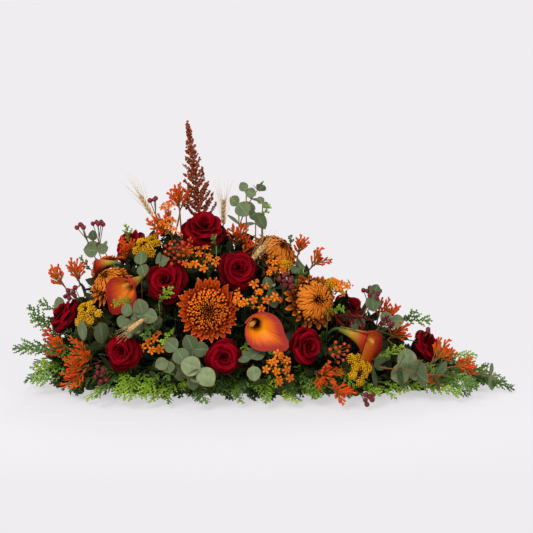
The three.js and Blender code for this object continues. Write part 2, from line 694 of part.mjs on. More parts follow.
// Greens on the table: a hub at the foam, then each spray's bearing, reach, height of tip, arch and tilt.
cypress('cypress_far_left', [-238, -4, 62], [
  [-90, 218, 79, 22, 0.2], [-66, 190, 40, 16, -0.1], [-112, 185, 50, 14, 0.1], [-88, 195, 168, 4, 0.3],
]);
cypress('cypress_front_left', [-195, FRONT, HUB], [
  [-62, 150, 15, 12, 0], [-30, 155, 8, 10, 0], [-2, 145, 8, 10, 0],
]);
cypress('cypress_front_mid', [-85, FRONT, HUB], [
  [-22, 150, 8, 10, 0], [6, 150, 10, 10, 0], [30, 142, 8, 10, 0],
]);
cypress('cypress_front_right', [45, FRONT, HUB], [
  [-20, 145, 8, 10, 0], [8, 142, 8, 10, 0], [34, 145, 9, 10, 0],
]);
cypress('cypress_near_tail', [165, FRONT, HUB], [
  [-6, 122, 8, 10, 0], [26, 140, 10, 10, 0], [52, 165, 10, 12, 0],
]);
cypress('cypress_tail', [238, -14, 52], [
  [82, 330, 6, 16, 0], [66, 250, 7, 14, 0], [98, 262, 60, 16, 0.1],
]);
cypress('cypress_back_left', [-180, -FRONT, HUB], [
  [222, 150, 10, 12, 0], [192, 125, 8, 10, 0], [165, 122, 8, 10, 0],
]);
cypress('cypress_back_mid', [-20, -FRONT, HUB], [
  [200, 122, 8, 10, 0], [175, 125, 8, 10, 0], [150, 125, 8, 10, 0],
]);
cypress('cypress_back_right', [140, -FRONT, HUB], [
  [190, 115, 8, 10, 0], [162, 125, 8, 10, 0], [125, 190, 9, 12, 0],
]);

blooms.forEach((root) => root());

plume('astilbe', 'rust', [-76, 8, 366], [-99, 0, 548], 66, 21);
plume('amaranth', 'wine', [222, -62, 150], [250, -90, 118], 40, 9);
wheat('wheat_left', [-172, 0, 358], [-197, 0, 401]);
wheat('wheat_top', [-28, 4, 350], [-27, 0, 398]);

eucalyptus('eucalyptus_top', [[-6, 30, 250], [2, 30, 320], [22, 20, 372], [44, 10, 408]], 5, 40);
eucalyptus('eucalyptus_upper_left', [
  [-222, 76, 112], [-250, 106, 200], [-285, 96, 268], [-304, 62, 296],
], 4, 36);
eucalyptus('eucalyptus_left', [[-150, -72, 112], [-185, -130, 160], [-205, -165, 158]], 4, 40);
eucalyptus('eucalyptus_low', [[-90, -74, 84], [-100, -150, 84], [-80, -196, 66]], 4, 44);
eucalyptus('eucalyptus_right', [[215, -70, 66], [290, -120, 66], [345, -135, 62], [400, -120, 50]], 6, 48);
eucalyptus('eucalyptus_back', [[-60, 72, 96], [-90, 140, 80], [-120, 180, 60]], 5, 44);

cluster('flame_far_left', 'flame', 1.5, handTip(30), [
  { at: [-372, -2, 240], face: [-80, 60], spread: 16, stem: 2.4, dome: 4, count: 4, seed: 1 },
  { at: [-330, 0, 250], face: [-40, 75], spread: 15, stem: 2.4, dome: 4, count: 5, seed: 2 },
]);
cluster('flame_low_left', 'flame', 1.5, handTip(30), [
  { at: [-316, -112, 92], face: [-45, 25], spread: 34, stem: 1.7, dome: 8, count: 9, seed: 3 },
]);
cluster('flame_top', 'flame', 1.5, handTip(28), [
  { at: [4, -12, 322], face: [20, 60], spread: 26, stem: 2.2, dome: 6, count: 8, seed: 4 },
]);
cluster('flame_right', 'flame', 1.5, handTip(28), [
  { at: [312, -20, 165], face: [70, 55], spread: 26, stem: 2.2, dome: 6, count: 6, seed: 5 },
  { at: [420, -66, 92], face: [110, 40], spread: 24, stem: 2, dome: 6, count: 5, seed: 6 },
  { at: [466, -78, 62], face: [90, 8], spread: 19, stem: 2, dome: 6, count: 5, seed: 21 },
]);
cluster('flame_low_right', 'flame', 1.5, handTip(28), [
  { at: [172, -168, 60], face: [25, 0], spread: 28, stem: 1.6, dome: 8, count: 8, seed: 7 },
]);

cluster('stars_top', 'orange', 1.4, starTip(7.5), [
  { at: [-72, -78, 275], face: [0, 40], spread: 34, stem: 1.8, dome: 10, count: 10, seed: 8 },
]);
cluster('stars_centre', 'orange', 1.4, starTip(7.5), [
  { at: [52, -128, 215], face: [10, 35], spread: 28, stem: 1.9, dome: 9, count: 9, seed: 9 },
]);
cluster('stars_low', 'orange', 1.4, starTip(7.5), [
  { at: [84, -186, 84], face: [10, 10], spread: 30, stem: 1.9, dome: 9, count: 9, seed: 10 },
]);

cluster('yarrow_left', 'yellow', 1.3, headTip(9), [
  { at: [-292, -98, 168], face: [-40, 35], spread: 28, stem: 2.2, dome: 8, count: 8, seed: 11 },
]);
cluster('yarrow_top', 'yellow', 1.3, headTip(9), [
  { at: [-178, -25, 295], face: [-10, 45], spread: 26, stem: 2.2, dome: 8, count: 8, seed: 12 },
]);
cluster('yarrow_low', 'yellow', 1.3, headTip(9), [
  { at: [238, -162, 76], face: [35, 15], spread: 27, stem: 2, dome: 8, count: 8, seed: 13 },
]);

cluster('berries_upper_left', 'berry', 1.4, berryTip(5), [
  { at: [-318, 0, 330], face: [-40, 60], spread: 12, stem: 5, dome: 2, count: 4, seed: 14 },
  { at: [-282, 0, 338], face: [0, 75], spread: 13, stem: 4.5, dome: 2, count: 5, seed: 15 },
]);
cluster('berries_centre', 'berry', 1.4, berryTip(5), [
  { at: [98, -128, 240], face: [10, 45], spread: 17, stem: 3, dome: 4, count: 8, seed: 16 },
]);
cluster('berries_right', 'berry', 1.4, berryTip(5), [
  { at: [272, -52, 204], face: [25, 70], spread: 20, stem: 2, dome: 5, count: 9, seed: 17 },
]);
cluster('berries_low_left', 'berry', 1.4, berryTip(5), [
  { at: [-262, -150, 58], face: [-30, 0], spread: 20, stem: 3, dome: 5, count: 8, seed: 19 },
]);

show('tray', 'tray', trayBody);
show('foam', 'foam', block.subtract(wasm.Manifold.union(roots)));
plants.forEach((plant) => plant.finish());

export default group;
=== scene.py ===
"""The looks of the pyramid funeral arrangement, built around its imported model.

Every flower, branch and spray of green is built in millimetres and turned to metres in Piece.build.
"""

import math

import bpy
import numpy as np
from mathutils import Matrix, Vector


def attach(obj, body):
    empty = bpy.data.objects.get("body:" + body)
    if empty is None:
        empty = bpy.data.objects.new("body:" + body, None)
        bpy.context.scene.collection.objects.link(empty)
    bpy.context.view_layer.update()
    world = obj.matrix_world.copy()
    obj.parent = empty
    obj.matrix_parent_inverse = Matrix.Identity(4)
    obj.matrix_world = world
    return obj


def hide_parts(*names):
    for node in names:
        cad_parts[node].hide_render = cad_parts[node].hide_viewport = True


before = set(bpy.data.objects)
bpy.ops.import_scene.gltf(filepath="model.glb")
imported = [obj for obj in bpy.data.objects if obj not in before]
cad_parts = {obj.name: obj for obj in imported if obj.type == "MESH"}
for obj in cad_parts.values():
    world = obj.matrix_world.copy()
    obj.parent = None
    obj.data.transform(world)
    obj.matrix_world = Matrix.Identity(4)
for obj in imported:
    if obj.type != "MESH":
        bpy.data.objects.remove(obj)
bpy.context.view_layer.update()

MM = 0.001

# The sprays are kept inside the solids' box, in millimetres
BOX_LOW = (-464.4, -225.4, 2.6)
BOX_HIGH = (573.4, 204.4, 547.4)

GOLDEN = math.radians(137.508)
UP = np.array([0.0, 0.0, 1.0])

# The photo's camera, in millimetres and degrees
LENS = 85
SENSOR = 36
CAMERA_DISTANCE = 2550
CAMERA_ELEVATION = 9
CAMERA_TARGET = (60, -20, 252)

# The pale backdrop: its colour, and how the paper turns into even light away from the object
BACKDROP = (0.871, 0.847, 0.871, 1)
SHADOW_SHAPE = (0.72, 1.25, 1.0)
SHADOW_REACH = 0.8
LEAST_GLOW = 0.62

# The floor and the dome round it, in metres
FLOOR_HALF = 8
DOME_RADIUS = 7

# Lamps: name, place, aim and size in metres, and power in watts
LIGHTS = [
    ("key", (-1.1, -2.1, 2.2), (0, 0, 0.15), 1.5, 60),
    ("fill", (1.9, -1.9, 1.5), (0.1, 0, 0.15), 1.4, 13),
    ("back", (0.5, 2.0, 2.0), (0, 0, 0.2), 1.4, 18),
]

# The even light from all round
SKY = (0.95, 0.97, 1.0, 1)
SKY_STRENGTH = 0.5

# The foam block, in millimetres
FOAM = {"half_length": 230, "half_width": 61, "crest": 182, "head": 100, "tail": 76, "ridge": 74}
FOAM_CREST_FROM = -115
FOAM_CREST_TO = -20
FOAM_SHOULDER = 24

# The mound of greens: its height and its reach toward the viewer along its length, and the share of
# its sprigs and leaves on the viewer's side
RIDGE = (
    (-440, 66), (-399, 104), (-358, 168), (-308, 218), (-257, 262), (-176, 310), (-125, 338), (-70, 345),
    (-4, 338), (37, 308), (108, 284), (168, 236), (219, 198), (290, 150), (351, 104), (432, 66), (533, 16),
)
REACH_OUT = (
    (-440, 40), (-358, 90), (-257, 150), (-100, 172), (60, 176), (168, 160), (250, 138), (351, 104),
    (432, 74), (533, 30),
)
FRONT_SHARE = 0.58

# Roses: name, centre, width, bearing, height above level
ROSES = [
    ("rose_top", (-67, -30, 325), 88, 5, 50),
    ("rose_left", (-136, -95, 232), 82, -15, 25),
    ("rose_centre", (2, -85, 255), 78, 12, 25),
    ("rose_low_left", (-217, -140, 104), 72, -22, 8),
    ("rose_low_centre", (-22, -172, 102), 70, 4, 2),
    ("rose_low_right", (133, -150, 116), 70, 34, 8),
    ("rose_head", (-342, -50, 152), 75, -75, 35),
    ("rose_tail", (381, -30, 90), 68, 70, 32),
    ("rose_behind_left", (-213, 40, 282), 78, -50, 40),
    ("rose_behind_right", (226, 12, 158), 66, 50, 45),
    ("rose_back_left", (-150, 120, 200), 80, 195, 15),
    ("rose_back_centre", (30, 125, 200), 80, 170, 15),
]

# Chrysanthemums: name, colour, form, centre, width, bearing, height above level
MUMS = [
    ("mum_front", "bronze", "hooked", (-53, -146, 187), 123, -2, 8),
    ("mum_right", "amber", "spoon", (154, -105, 198), 109, 28, 14),
    ("mum_top_right", "amber", "reflexed", (84, 8, 279), 112, 44, 44),
    ("mum_left", "amber", "reflexed", (-256, -55, 229), 92, -35, 50),
    ("mum_far_left", "bronze", "reflexed", (-285, 52, 240), 80, -85, 40),
    ("mum_back_left", "amber", "spoon", (-60, 150, 165), 100, 182, 10),
    ("mum_back_right", "bronze", "hooked", (130, 125, 160), 95, 160, 12),
]

# Calla lilies: name, mouth, width, length, bearing, height above level, where the tip points
CALLAS = [
    ("calla_front", (35, -176, 164), 82, 80, -2, 4, -36),
    ("calla_right", (270, -134, 122), 100, 90, 58, -12, -80),
    ("calla_left", (-216, -120, 228), 80, 70, -30, -10, -128),
    ("calla_far_left", (-292, -16, 258), 52, 58, -80, 0, -90),
]

# Cypress bunches: hub, then each spray's bearing, reach, tip height, rise and tilt
CYPRESS = {
    "far_left": (
        (-238, -4, 62),
        [(-90, 225, 79, 22, -40), (-66, 190, 40, 16, -30), (-112, 185, 50, 14, 20), (-88, 190, 172, 4, -50)],
    ),
    "front_left": ((-195, -68, 48), [(-62, 146, 26, 30, -20), (-30, 146, 22, 32, 0), (-2, 132, 20, 32, 0)]),
    "front_mid": ((-85, -68, 48), [(-22, 134, 20, 32, 0), (6, 142, 18, 36, 0), (30, 130, 22, 32, 0)]),
    "front_right": ((45, -68, 48), [(-20, 132, 20, 32, 0), (8, 136, 18, 32, 0), (34, 132, 22, 34, 0)]),
    "near_tail": ((165, -68, 48), [(-6, 116, 20, 30, 0), (26, 128, 20, 32, 0), (52, 152, 20, 32, 0)]),
    "tail": ((238, -14, 52), [(82, 330, 6, 16, -35), (66, 250, 7, 14, -25), (98, 262, 60, 16, -40)]),
    "back_left": ((-180, 68, 48), [(222, 150, 10, 30, 0), (192, 125, 8, 30, 0), (165, 122, 8, 30, 0)]),
    "back_mid": ((-20, 68, 48), [(200, 122, 8, 30, 0), (175, 125, 8, 30, 0), (150, 125, 8, 30, 0)]),
    "back_right": ((140, 68, 48), [(190, 115, 8, 30, 0), (162, 125, 8, 30, 0), (125, 190, 9, 30, 0)]),
}

# Layers of the skirt: gap between sprays, reach as a share of the room there, the power that draws it to
# the low end, heights of foot, arch and tip, width, and looks, which are 0 deep, 1 green and 2 lime
SKIRT = {
    "middle": {
        "gap": 20, "share": (0.42, 0.98), "power": 2.6, "foot": (34, 60), "arch": (40, 58), "tip": (12, 24),
        "width": (10, 13.5), "looks": (1, 2, 1, 2, 0),
    },
    "upper": {
        "gap": 32, "share": (0.4, 0.58), "power": 1, "foot": (48, 74), "arch": (56, 82), "tip": (24, 44),
        "width": (14, 18), "looks": (0, 0, 1),
    },
    "near": {
        "gap": 11.5, "share": (0.3, 0.58), "power": 1, "foot": (40, 60), "arch": (32, 44), "tip": (2, 6),
        "width": (15, 19), "looks": (0, 0, 1),
    },
    "long": {
        "gap": 34, "share": (0.74, 1.0), "power": 1, "foot": (34, 50), "arch": (34, 44), "tip": (8, 16),
        "width": (10, 12.5), "looks": (1, 2, 2),
    },
}

# The skirt's room at four places along the foam
SKIRT_SHAPE = ((-230, -120, 60, 250), (0.72, 0.94, 0.94, 0.6))

# Greens between the flowers: tries, the most that are kept, reach, width and looks
GREENS = {"tries": 1100, "most": 250, "reach": (48, 84), "width": (13, 19), "looks": (0, 0, 1, 1, 1, 2)}

# The left end and the tail: looks, and the number of sprays and sprigs
END_LOOKS = (0, 1, 1, 2)
HEAD_SPRAYS = 24
TAIL_SPRAYS = 12
TAIL_SPRIGS = 50

# Dark leaves: tries, depth under the mound's skin, gap along the stalk, length and width
LEAVES = {"tries": 760, "depth": (4, 32), "gap": 16, "length": (26, 44), "width": (15, 27)}

# Eucalyptus branches: points along the twig, pairs of leaves, leaf size
EUCALYPTUS = {
    "top": ([(-6, 30, 250), (2, 30, 320), (22, 20, 372), (44, 10, 408)], 5, 40),
    "upper_left": ([(-222, 76, 112), (-250, 106, 200), (-285, 96, 268), (-304, 62, 296)], 4, 36),
    "left": ([(-150, -72, 112), (-185, -130, 160), (-205, -165, 158)], 4, 40),
    "low": ([(-90, -74, 84), (-100, -150, 84), (-80, -196, 66)], 4, 44),
    "right": ([(215, -70, 66), (290, -120, 66), (345, -135, 62), (400, -120, 50)], 4, 54),
    "back": ([(-60, 72, 96), (-90, 140, 80), (-120, 180, 60)], 5, 44),
}

# Bunches: where the heads are, which way they face, spread, stem, dome, count and seed
FLAMES = {
    "far_left": [
        ((-372, -2, 240), (-80, 60), 19, 2.4, 4, 3, 1),
        ((-330, 0, 250), (-40, 75), 18, 2.4, 4, 4, 2),
    ],
    "top_left": [
        ((-118, -20, 402), (-15, 75), 20, 2.2, 8, 5, 22),
        ((-152, -30, 345), (-40, 45), 26, 2, 8, 6, 23),
        ((-96, -66, 300), (-10, 30), 16, 2, 6, 3, 24),
    ],
    "upper_left": [((-226, -22, 292), (-20, 50), 20, 2, 5, 4, 25)],
    "low_left": [
        ((-312, -116, 92), (-55, 22), 36, 1.7, 8, 7, 3),
        ((-368, -84, 104), (-75, 20), 26, 2, 6, 5, 31),
        ((-322, -138, 52), (-45, -8), 28, 1.8, 6, 5, 32),
    ],
    "top": [((4, -12, 322), (20, 60), 26, 2.2, 6, 6, 4), ((30, -30, 292), (40, 35), 22, 2, 5, 4, 26)],
    "upper_right": [
        ((130, 0, 300), (25, 65), 15, 2.6, 4, 3, 27),
        ((172, 0, 268), (60, 45), 17, 2.4, 4, 3, 28),
    ],
    "right": [
        ((312, -20, 165), (70, 55), 26, 2.2, 6, 5, 5),
        ((420, -66, 92), (110, 40), 26, 2, 6, 5, 6),
        ((466, -78, 62), (90, 8), 19, 2, 6, 4, 21),
    ],
    "tail": [((332, -52, 130), (55, 40), 20, 2, 5, 4, 29), ((400, -100, 36), (80, 0), 18, 2, 5, 3, 30)],
    "low_right": [
        ((176, -168, 62), (30, 0), 30, 1.6, 8, 6, 7),
        ((210, -186, 30), (50, -12), 24, 1.8, 6, 4, 33),
    ],
}
STARS = {
    "top": [((-72, -78, 275), (0, 40), 36, 1.8, 10, 9, 8)],
    "centre": [((52, -128, 213), (10, 35), 30, 1.9, 9, 7, 9), ((10, -152, 206), (0, 20), 12, 2, 4, 3, 35)],
    "low": [((84, -186, 80), (10, 10), 30, 1.9, 9, 8, 10)],
    "left": [((-164, -150, 118), (-10, 20), 20, 1.8, 6, 5, 34)],
    "upper_left": [
        ((-134, -52, 342), (-10, 50), 18, 2, 5, 4, 36),
        ((-138, -20, 376), (-10, 65), 12, 2.4, 4, 3, 37),
    ],
    "right": [((84, -66, 260), (15, 45), 20, 2, 6, 5, 38), ((208, -78, 222), (25, 40), 16, 2, 5, 4, 39)],
}
YARROW = {
    "left": [((-292, -98, 168), (-40, 35), 28, 2.2, 8, 8, 11)],
    "top": [((-178, -25, 295), (-10, 45), 26, 2.2, 8, 8, 12)],
    "low": [((238, -162, 76), (35, 15), 27, 2, 8, 8, 13)],
    "right": [((190, -66, 222), (25, 50), 18, 2, 5, 5, 40), ((96, -58, 262), (20, 50), 12, 2.2, 4, 3, 41)],
}
BERRIES = {
    "upper_left": [
        ((-318, 0, 330), (-40, 60), 12, 5, 2, 4, 14),
        ((-282, 0, 338), (0, 75), 13, 4.5, 2, 5, 15),
    ],
    "centre": [((98, -128, 240), (10, 45), 17, 3, 4, 8, 16)],
    "right": [((272, -52, 204), (25, 70), 20, 2, 5, 9, 17)],
    "low_left": [((-262, -150, 58), (-30, 0), 20, 3, 5, 8, 19)],
    "low_right": [((255, -190, 22), (20, 0), 13, 3.4, 3, 6, 20)],
    "far_left": [((-333, -50, 202), (-50, 40), 18, 2.4, 4, 7, 42)],
    "top_left": [((-168, 0, 386), (-20, 75), 9, 5, 2, 3, 43)],
    "tail": [((297, -92, 153), (35, 40), 14, 2.4, 4, 6, 44), ((388, -42, 124), (60, 60), 6, 5, 2, 2, 45)],
}
RED_BERRIES = {
    "left": [((-118, -88, 292), (-10, 45), 30, 2, 10, 24, 46)],
    "low_right": [((202, -166, 108), (30, 15), 24, 2, 6, 14, 47)],
    "end": [((-384, -50, 118), (-60, 20), 16, 2.4, 4, 8, 48)],
}

# Round leaves: the twig's end, bearing, height above level, tone, and each leaf's size and angle
LEAF_KNOTS = [
    ((-66, -206, 84), 0, 6, 0.95, [(42, 165), (41, -52)]),
    ((34, -200, 88), 0, 8, 0.8, [(30, -86)]),
    ((30, -176, 98), 0, 55, 0.3, [(36, 40), (32, 170)]),
    ((-112, -178, 116), -8, 18, 0.25, [(33, 150), (35, -55)]),
    ((-130, -182, 94), -5, 10, 0.45, [(27, -155), (26, -80)]),
    ((-82, -160, 112), 5, 20, 0.2, [(32, 0), (32, 115), (29, -100)]),
    ((-178, -160, 182), -10, 15, 0.35, [(32, 105), (32, -15), (30, 215)]),
    ((-214, -152, 176), -25, 10, 0.3, [(27, 70), (25, -110)]),
    ((340, -112, 61), 10, 12, 0.85, [(44, 96), (42, 205), (43, -12)]),
    ((462, -80, 42), 52, 5, 0.6, [(38, -86), (30, 100)]),
    ((512, -62, 38), 58, 8, 0.6, [(34, -92), (26, 60)]),
    ((19, 0, 404), -10, 10, 0.5, [(21, 125), (23, -25)]),
    ((4, -6, 378), -15, 25, 0.4, [(25, 150), (36, -48)]),
    ((52, 0, 378), 15, 15, 0.5, [(17, 120), (15, -30)]),
    ((38, -12, 360), 48, 20, 0.2, [(40, -70), (26, 200)]),
    ((-283, -2, 282), -15, 15, 0.4, [(32, 178), (24, 20)]),
    ((-355, -40, 168), -30, 15, 0.5, [(27, 110)]),
    ((-300, -130, 162), -52, 0, 0.45, [(41, -88)]),
    ((-264, -140, 160), 55, 0, 0.3, [(44, -82)]),
    ((272, -62, 200), 10, 20, 0.2, [(34, -90), (26, 60)]),
    ((308, -64, 148), 15, 20, 0.6, [(30, 0), (26, 140)]),
    ((64, -122, 222), 42, 15, 0.15, [(40, -75), (28, 100)]),
    ((-150, -96, 272), -50, 20, 0.25, [(26, 140), (24, 20)]),
    ((-190, -60, 262), -25, 25, 0.3, [(30, 100), (28, -60)]),
    ((124, -80, 258), 50, 35, 0.1, [(26, 30), (26, 200)]),
    ((240, -104, 150), 50, 20, 0.15, [(28, 20), (26, 180)]),
    ((100, 160, 120), 175, 20, 0.7, [(38, 20), (36, 190)]),
    ((-110, 160, 110), 185, 20, 0.7, [(40, 160), (36, -20)]),
    ((-240, 110, 150), 215, 25, 0.5, [(34, 60), (32, -120)]),
    ((220, 90, 120), 150, 30, 0.5, [(34, 60), (32, -100)]),
]

# Light sprigs: foot, bearing and height above level, reach, and look, which is 0 green or 1 lime
SPRIGS = [
    ((-222, 20, 296), (-16, 68), 46, 1), ((108, 30, 280), (10, 70), 36, 0),
    ((50, 0, 352), (40, 45), 40, 1), ((-190, -110, 196), (-70, 5), 54, 1),
    ((-158, -160, 168), (-30, -40), 46, 0), ((-150, -126, 196), (60, 50), 52, 1),
    ((337, -20, 141), (88, 2), 62, 0), ((337, -20, 141), (70, 38), 40, 0),
    ((278, -118, 84), (62, 30), 66, 1), ((-150, -150, 62), (-30, -30), 70, 1),
    ((-186, -140, 58), (-50, -28), 72, 1), ((-112, -150, 92), (-20, -30), 60, 0),
    ((240, -130, 40), (40, -12), 64, 1), ((290, -110, 34), (60, -10), 60, 1),
    ((180, -120, 178), (50, 20), 44, 1), ((-250, -110, 130), (-60, 30), 40, 0),
    ((60, -150, 130), (20, -30), 44, 0), ((130, -120, 60), (10, -20), 66, 0),
    ((-300, 10, 240), (-60, 50), 40, 0), ((20, -120, 120), (0, -20), 40, 1),
    ((-362, -14, 134), (-85, 8), 62, 0), ((-360, -10, 152), (-78, 34), 56, 0),
    ((-345, -50, 58), (-95, -6), 78, 1), ((-350, -40, 96), (-88, -2), 92, 0),
    ((-120, -140, 150), (-40, -35), 44, 1), ((118, -100, 240), (40, 50), 36, 0),
    ((-40, -60, 300), (-20, 50), 34, 0),
]

# Hanging ropes: points along each
ROPES = [
    ((199, -100, 166), (232, -114, 168), (272, -104, 158)),
    ((206, -94, 186), (194, -106, 170), (211, -110, 148)),
    ((222, -100, 176), (230, -114, 160), (224, -114, 146)),
    ((236, -104, 170), (250, -112, 150), (246, -112, 138)),
]

# Plumes: name, foot, top, width, branches, look, slot, size of a bead, beads to 20 mm of branch
PLUMES = [
    ("astilbe", (-74, 10, 340), (-99, 0, 545), 60, 74, "rust", "rust_plume", 1.9, 30),
    ("amaranth", (222, -62, 150), (250, -90, 118), 40, 16, "wine", "wine_plume", 2.0, 34),
]

# Ears of wheat: foot and top
WHEAT = {
    "left": ((-172, 0, 354), (-197, 0, 396)),
    "top": ((-28, 4, 338), (-27, 0, 386)),
    "low": ((-176, -178, 174), (-203, -182, 155)),
    "centre": ((27, -74, 268), (53, -70, 301)),
}

# Stem radii, in millimetres
STEM = {
    "rose": 2.6, "mum": 2.8, "calla": 3.2, "cypress": 2.2, "eucalyptus": 1.6, "plume": 1.8, "wheat": 1.2,
    "flame": 1.6, "stars": 1.3, "yarrow": 1.3, "berries": 1.1,
}

# The radius of a bunch's twigs as a share of its stem's
BRANCH = 0.85

# Thickness of petals and leaves, in millimetres
THICK = {"rose": 0.9, "sepal": 0.8, "mum": 0.8, "calla": 1.3, "eucalyptus": 0.6, "star": 1.5}

# Sizes of small things in millimetres, where two numbers are the least and the most
FLAME_SIZE = {"left": 32, "other": 29}
STAR_SIZE = (8.2, 10)
SMALL_STAR_SIZE = (4.5, 7.5)
STAR_BUD_SIZE = 2
YARROW_SIZE = (8, 11)
YARROW_GRAIN_SIZE = (1.3, 2.0)
BERRY_SIZE = 5.1
RED_BERRY_SIZE = 3.4
WHEAT_GRAIN_SIZE = 5.2

# Where the random draws of each fill start
SEEDS = {"greens": 41, "leaves": 43, "skirt": 47, "ends": 53, "round_leaves": 59, "sprigs": 61, "ropes": 67}

# Points along the ribs of sprays, the eucalyptus twigs and the ropes
RIB_POINTS = 20
TWIG_POINTS = 24
ROPE_POINTS = 30


# Vectors and frames

def unit(v):
    """Each vector at length 1."""
    v = np.asarray(v, float)
    return v / np.maximum(np.linalg.norm(v, axis=-1, keepdims=True), 1e-9)


def heading(bearing, height):
    """The direction with that compass bearing, 0 toward the viewer, and height above level, in degrees."""
    b, h = math.radians(bearing), math.radians(height)
    return np.array([math.sin(b) * math.cos(h), -math.cos(b) * math.cos(h), math.sin(h)])


def frames(axes):
    """Two side directions u and v for each axis, and the axis itself."""
    a = unit(axes)
    helper = np.zeros_like(a)
    helper[..., 2] = 1
    helper[np.abs(a[..., 2]) > 0.98] = (0, 1, 0)
    u = unit(np.cross(helper, a))
    return u, np.cross(a, u), a


def place(origin, axis, local):
    """Points given along u, v and the axis, put in the world."""
    u, v, a = frames(np.asarray(axis, float))
    return np.asarray(origin, float) + local[..., :1] * u + local[..., 1:2] * v + local[..., 2:] * a


def bend(start, middle, end, count):
    """Smooth curves [N, count, 3] from start to end that lean toward middle."""
    s = np.linspace(0, 1, count)[None, :, None]
    start, middle, end = (np.atleast_2d(p).astype(float)[:, None, :] for p in (start, middle, end))
    return (1 - s) ** 2 * start + 2 * s * (1 - s) * middle + s ** 2 * end


def through(points, count):
    """A smooth curve [count, 3] through the given points."""
    p = np.asarray(points, float)
    p = np.vstack([2 * p[0] - p[1], p, 2 * p[-1] - p[-2]])
    spots = np.linspace(0, len(p) - 3, count)
    k = np.minimum(spots.astype(int), len(p) - 4)
    t = (spots - k)[:, None]
    a, b, c, d = p[k], p[k + 1], p[k + 2], p[k + 3]
    square = 2 * a - 5 * b + 4 * c - d
    cube = 3 * b - a - 3 * c + d
    return 0.5 * (2 * b + (c - a) * t + square * t ** 2 + cube * t ** 3)


def smooth(x):
    """A soft step from 0 to 1."""
    x = np.clip(x, 0, 1)
    return x * x * (3 - 2 * x)


def column(values, count, depth=2):
    """One value for each of count copies, shaped to spread over the copy's points."""
    return np.reshape(np.broadcast_to(values, (count,)), (count,) + (1,) * (depth - 1))


def shares(rows, columns):
    """How far along, 0 to 1, and across, -1 to 1, each point of a petal or leaf lies."""
    return np.linspace(0, 1, rows)[None, :, None], np.linspace(-1, 1, columns)[None, None, :]


def spun(turn, out, side, up):
    """Points that far out and to the side at each turn round the z axis, at the height up."""
    x = np.cos(turn) * out - np.sin(turn) * side
    y = np.sin(turn) * out + np.cos(turn) * side
    return np.stack(np.broadcast_arrays(x, y, up), -1)


def lay_out(middles, ways, *amounts):
    """Grids round each middle, with one amount along each of the three ways."""
    spread = (slice(None),) + (None,) * (amounts[-1].ndim - 1)
    points = middles[spread]
    for amount, way in zip(amounts, ways):
        points = points + amount[..., None] * way[spread]
    return points


def around(angles, u, v):
    """The way at each angle round the axis that u and v stand square to."""
    return np.cos(angles)[:, None] * u + np.sin(angles)[:, None] * v


def on_path(path, spots):
    """Points of the path at spots that are counted in its steps."""
    index = np.clip(spots.astype(int), 0, len(path) - 2)
    return path[index] + (path[index + 1] - path[index]) * (spots - index)[:, None]


def foam_top(x, y):
    """The height of the foam's upper face at each place, far below ground outside the foam."""
    f = FOAM
    left = np.interp(x, [-f["half_length"], FOAM_CREST_FROM], [f["head"], f["crest"]])
    right = np.interp(x, [FOAM_CREST_TO, f["half_length"]], [f["crest"], f["tail"]])
    edge = np.clip((f["half_width"] - np.abs(y)) / FOAM_SHOULDER, 0, 1)
    ridge = np.minimum(left, right)
    low = np.minimum(ridge, f["ridge"])
    top = low + (ridge - low) * edge
    outside = (np.abs(x) > f["half_length"]) | (np.abs(y) > f["half_width"])
    return np.where(outside, -1000, top)


def cad_points(node):
    """The CAD node's points, in millimetres."""
    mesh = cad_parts[node].data
    points = np.empty(len(mesh.vertices) * 3, np.float32)
    mesh.vertices.foreach_get("co", points)
    return points.reshape(-1, 3) / MM


def foot_in_foam(node, root):
    """Where the node's stem ends in the foam; for other pieces, the foam nearest the stem's root."""
    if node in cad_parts:
        points = cad_points(node)
        inside = points[points[:, 2] < foam_top(points[:, 0], points[:, 1]) - 5]
        return inside.mean(0)
    x = np.clip(root[0] * 0.9, -215, 215)
    y = np.clip(root[1] * 0.5, -40, 40)
    return np.array([x, y, float(foam_top(x, y)) - 25])


# Meshes

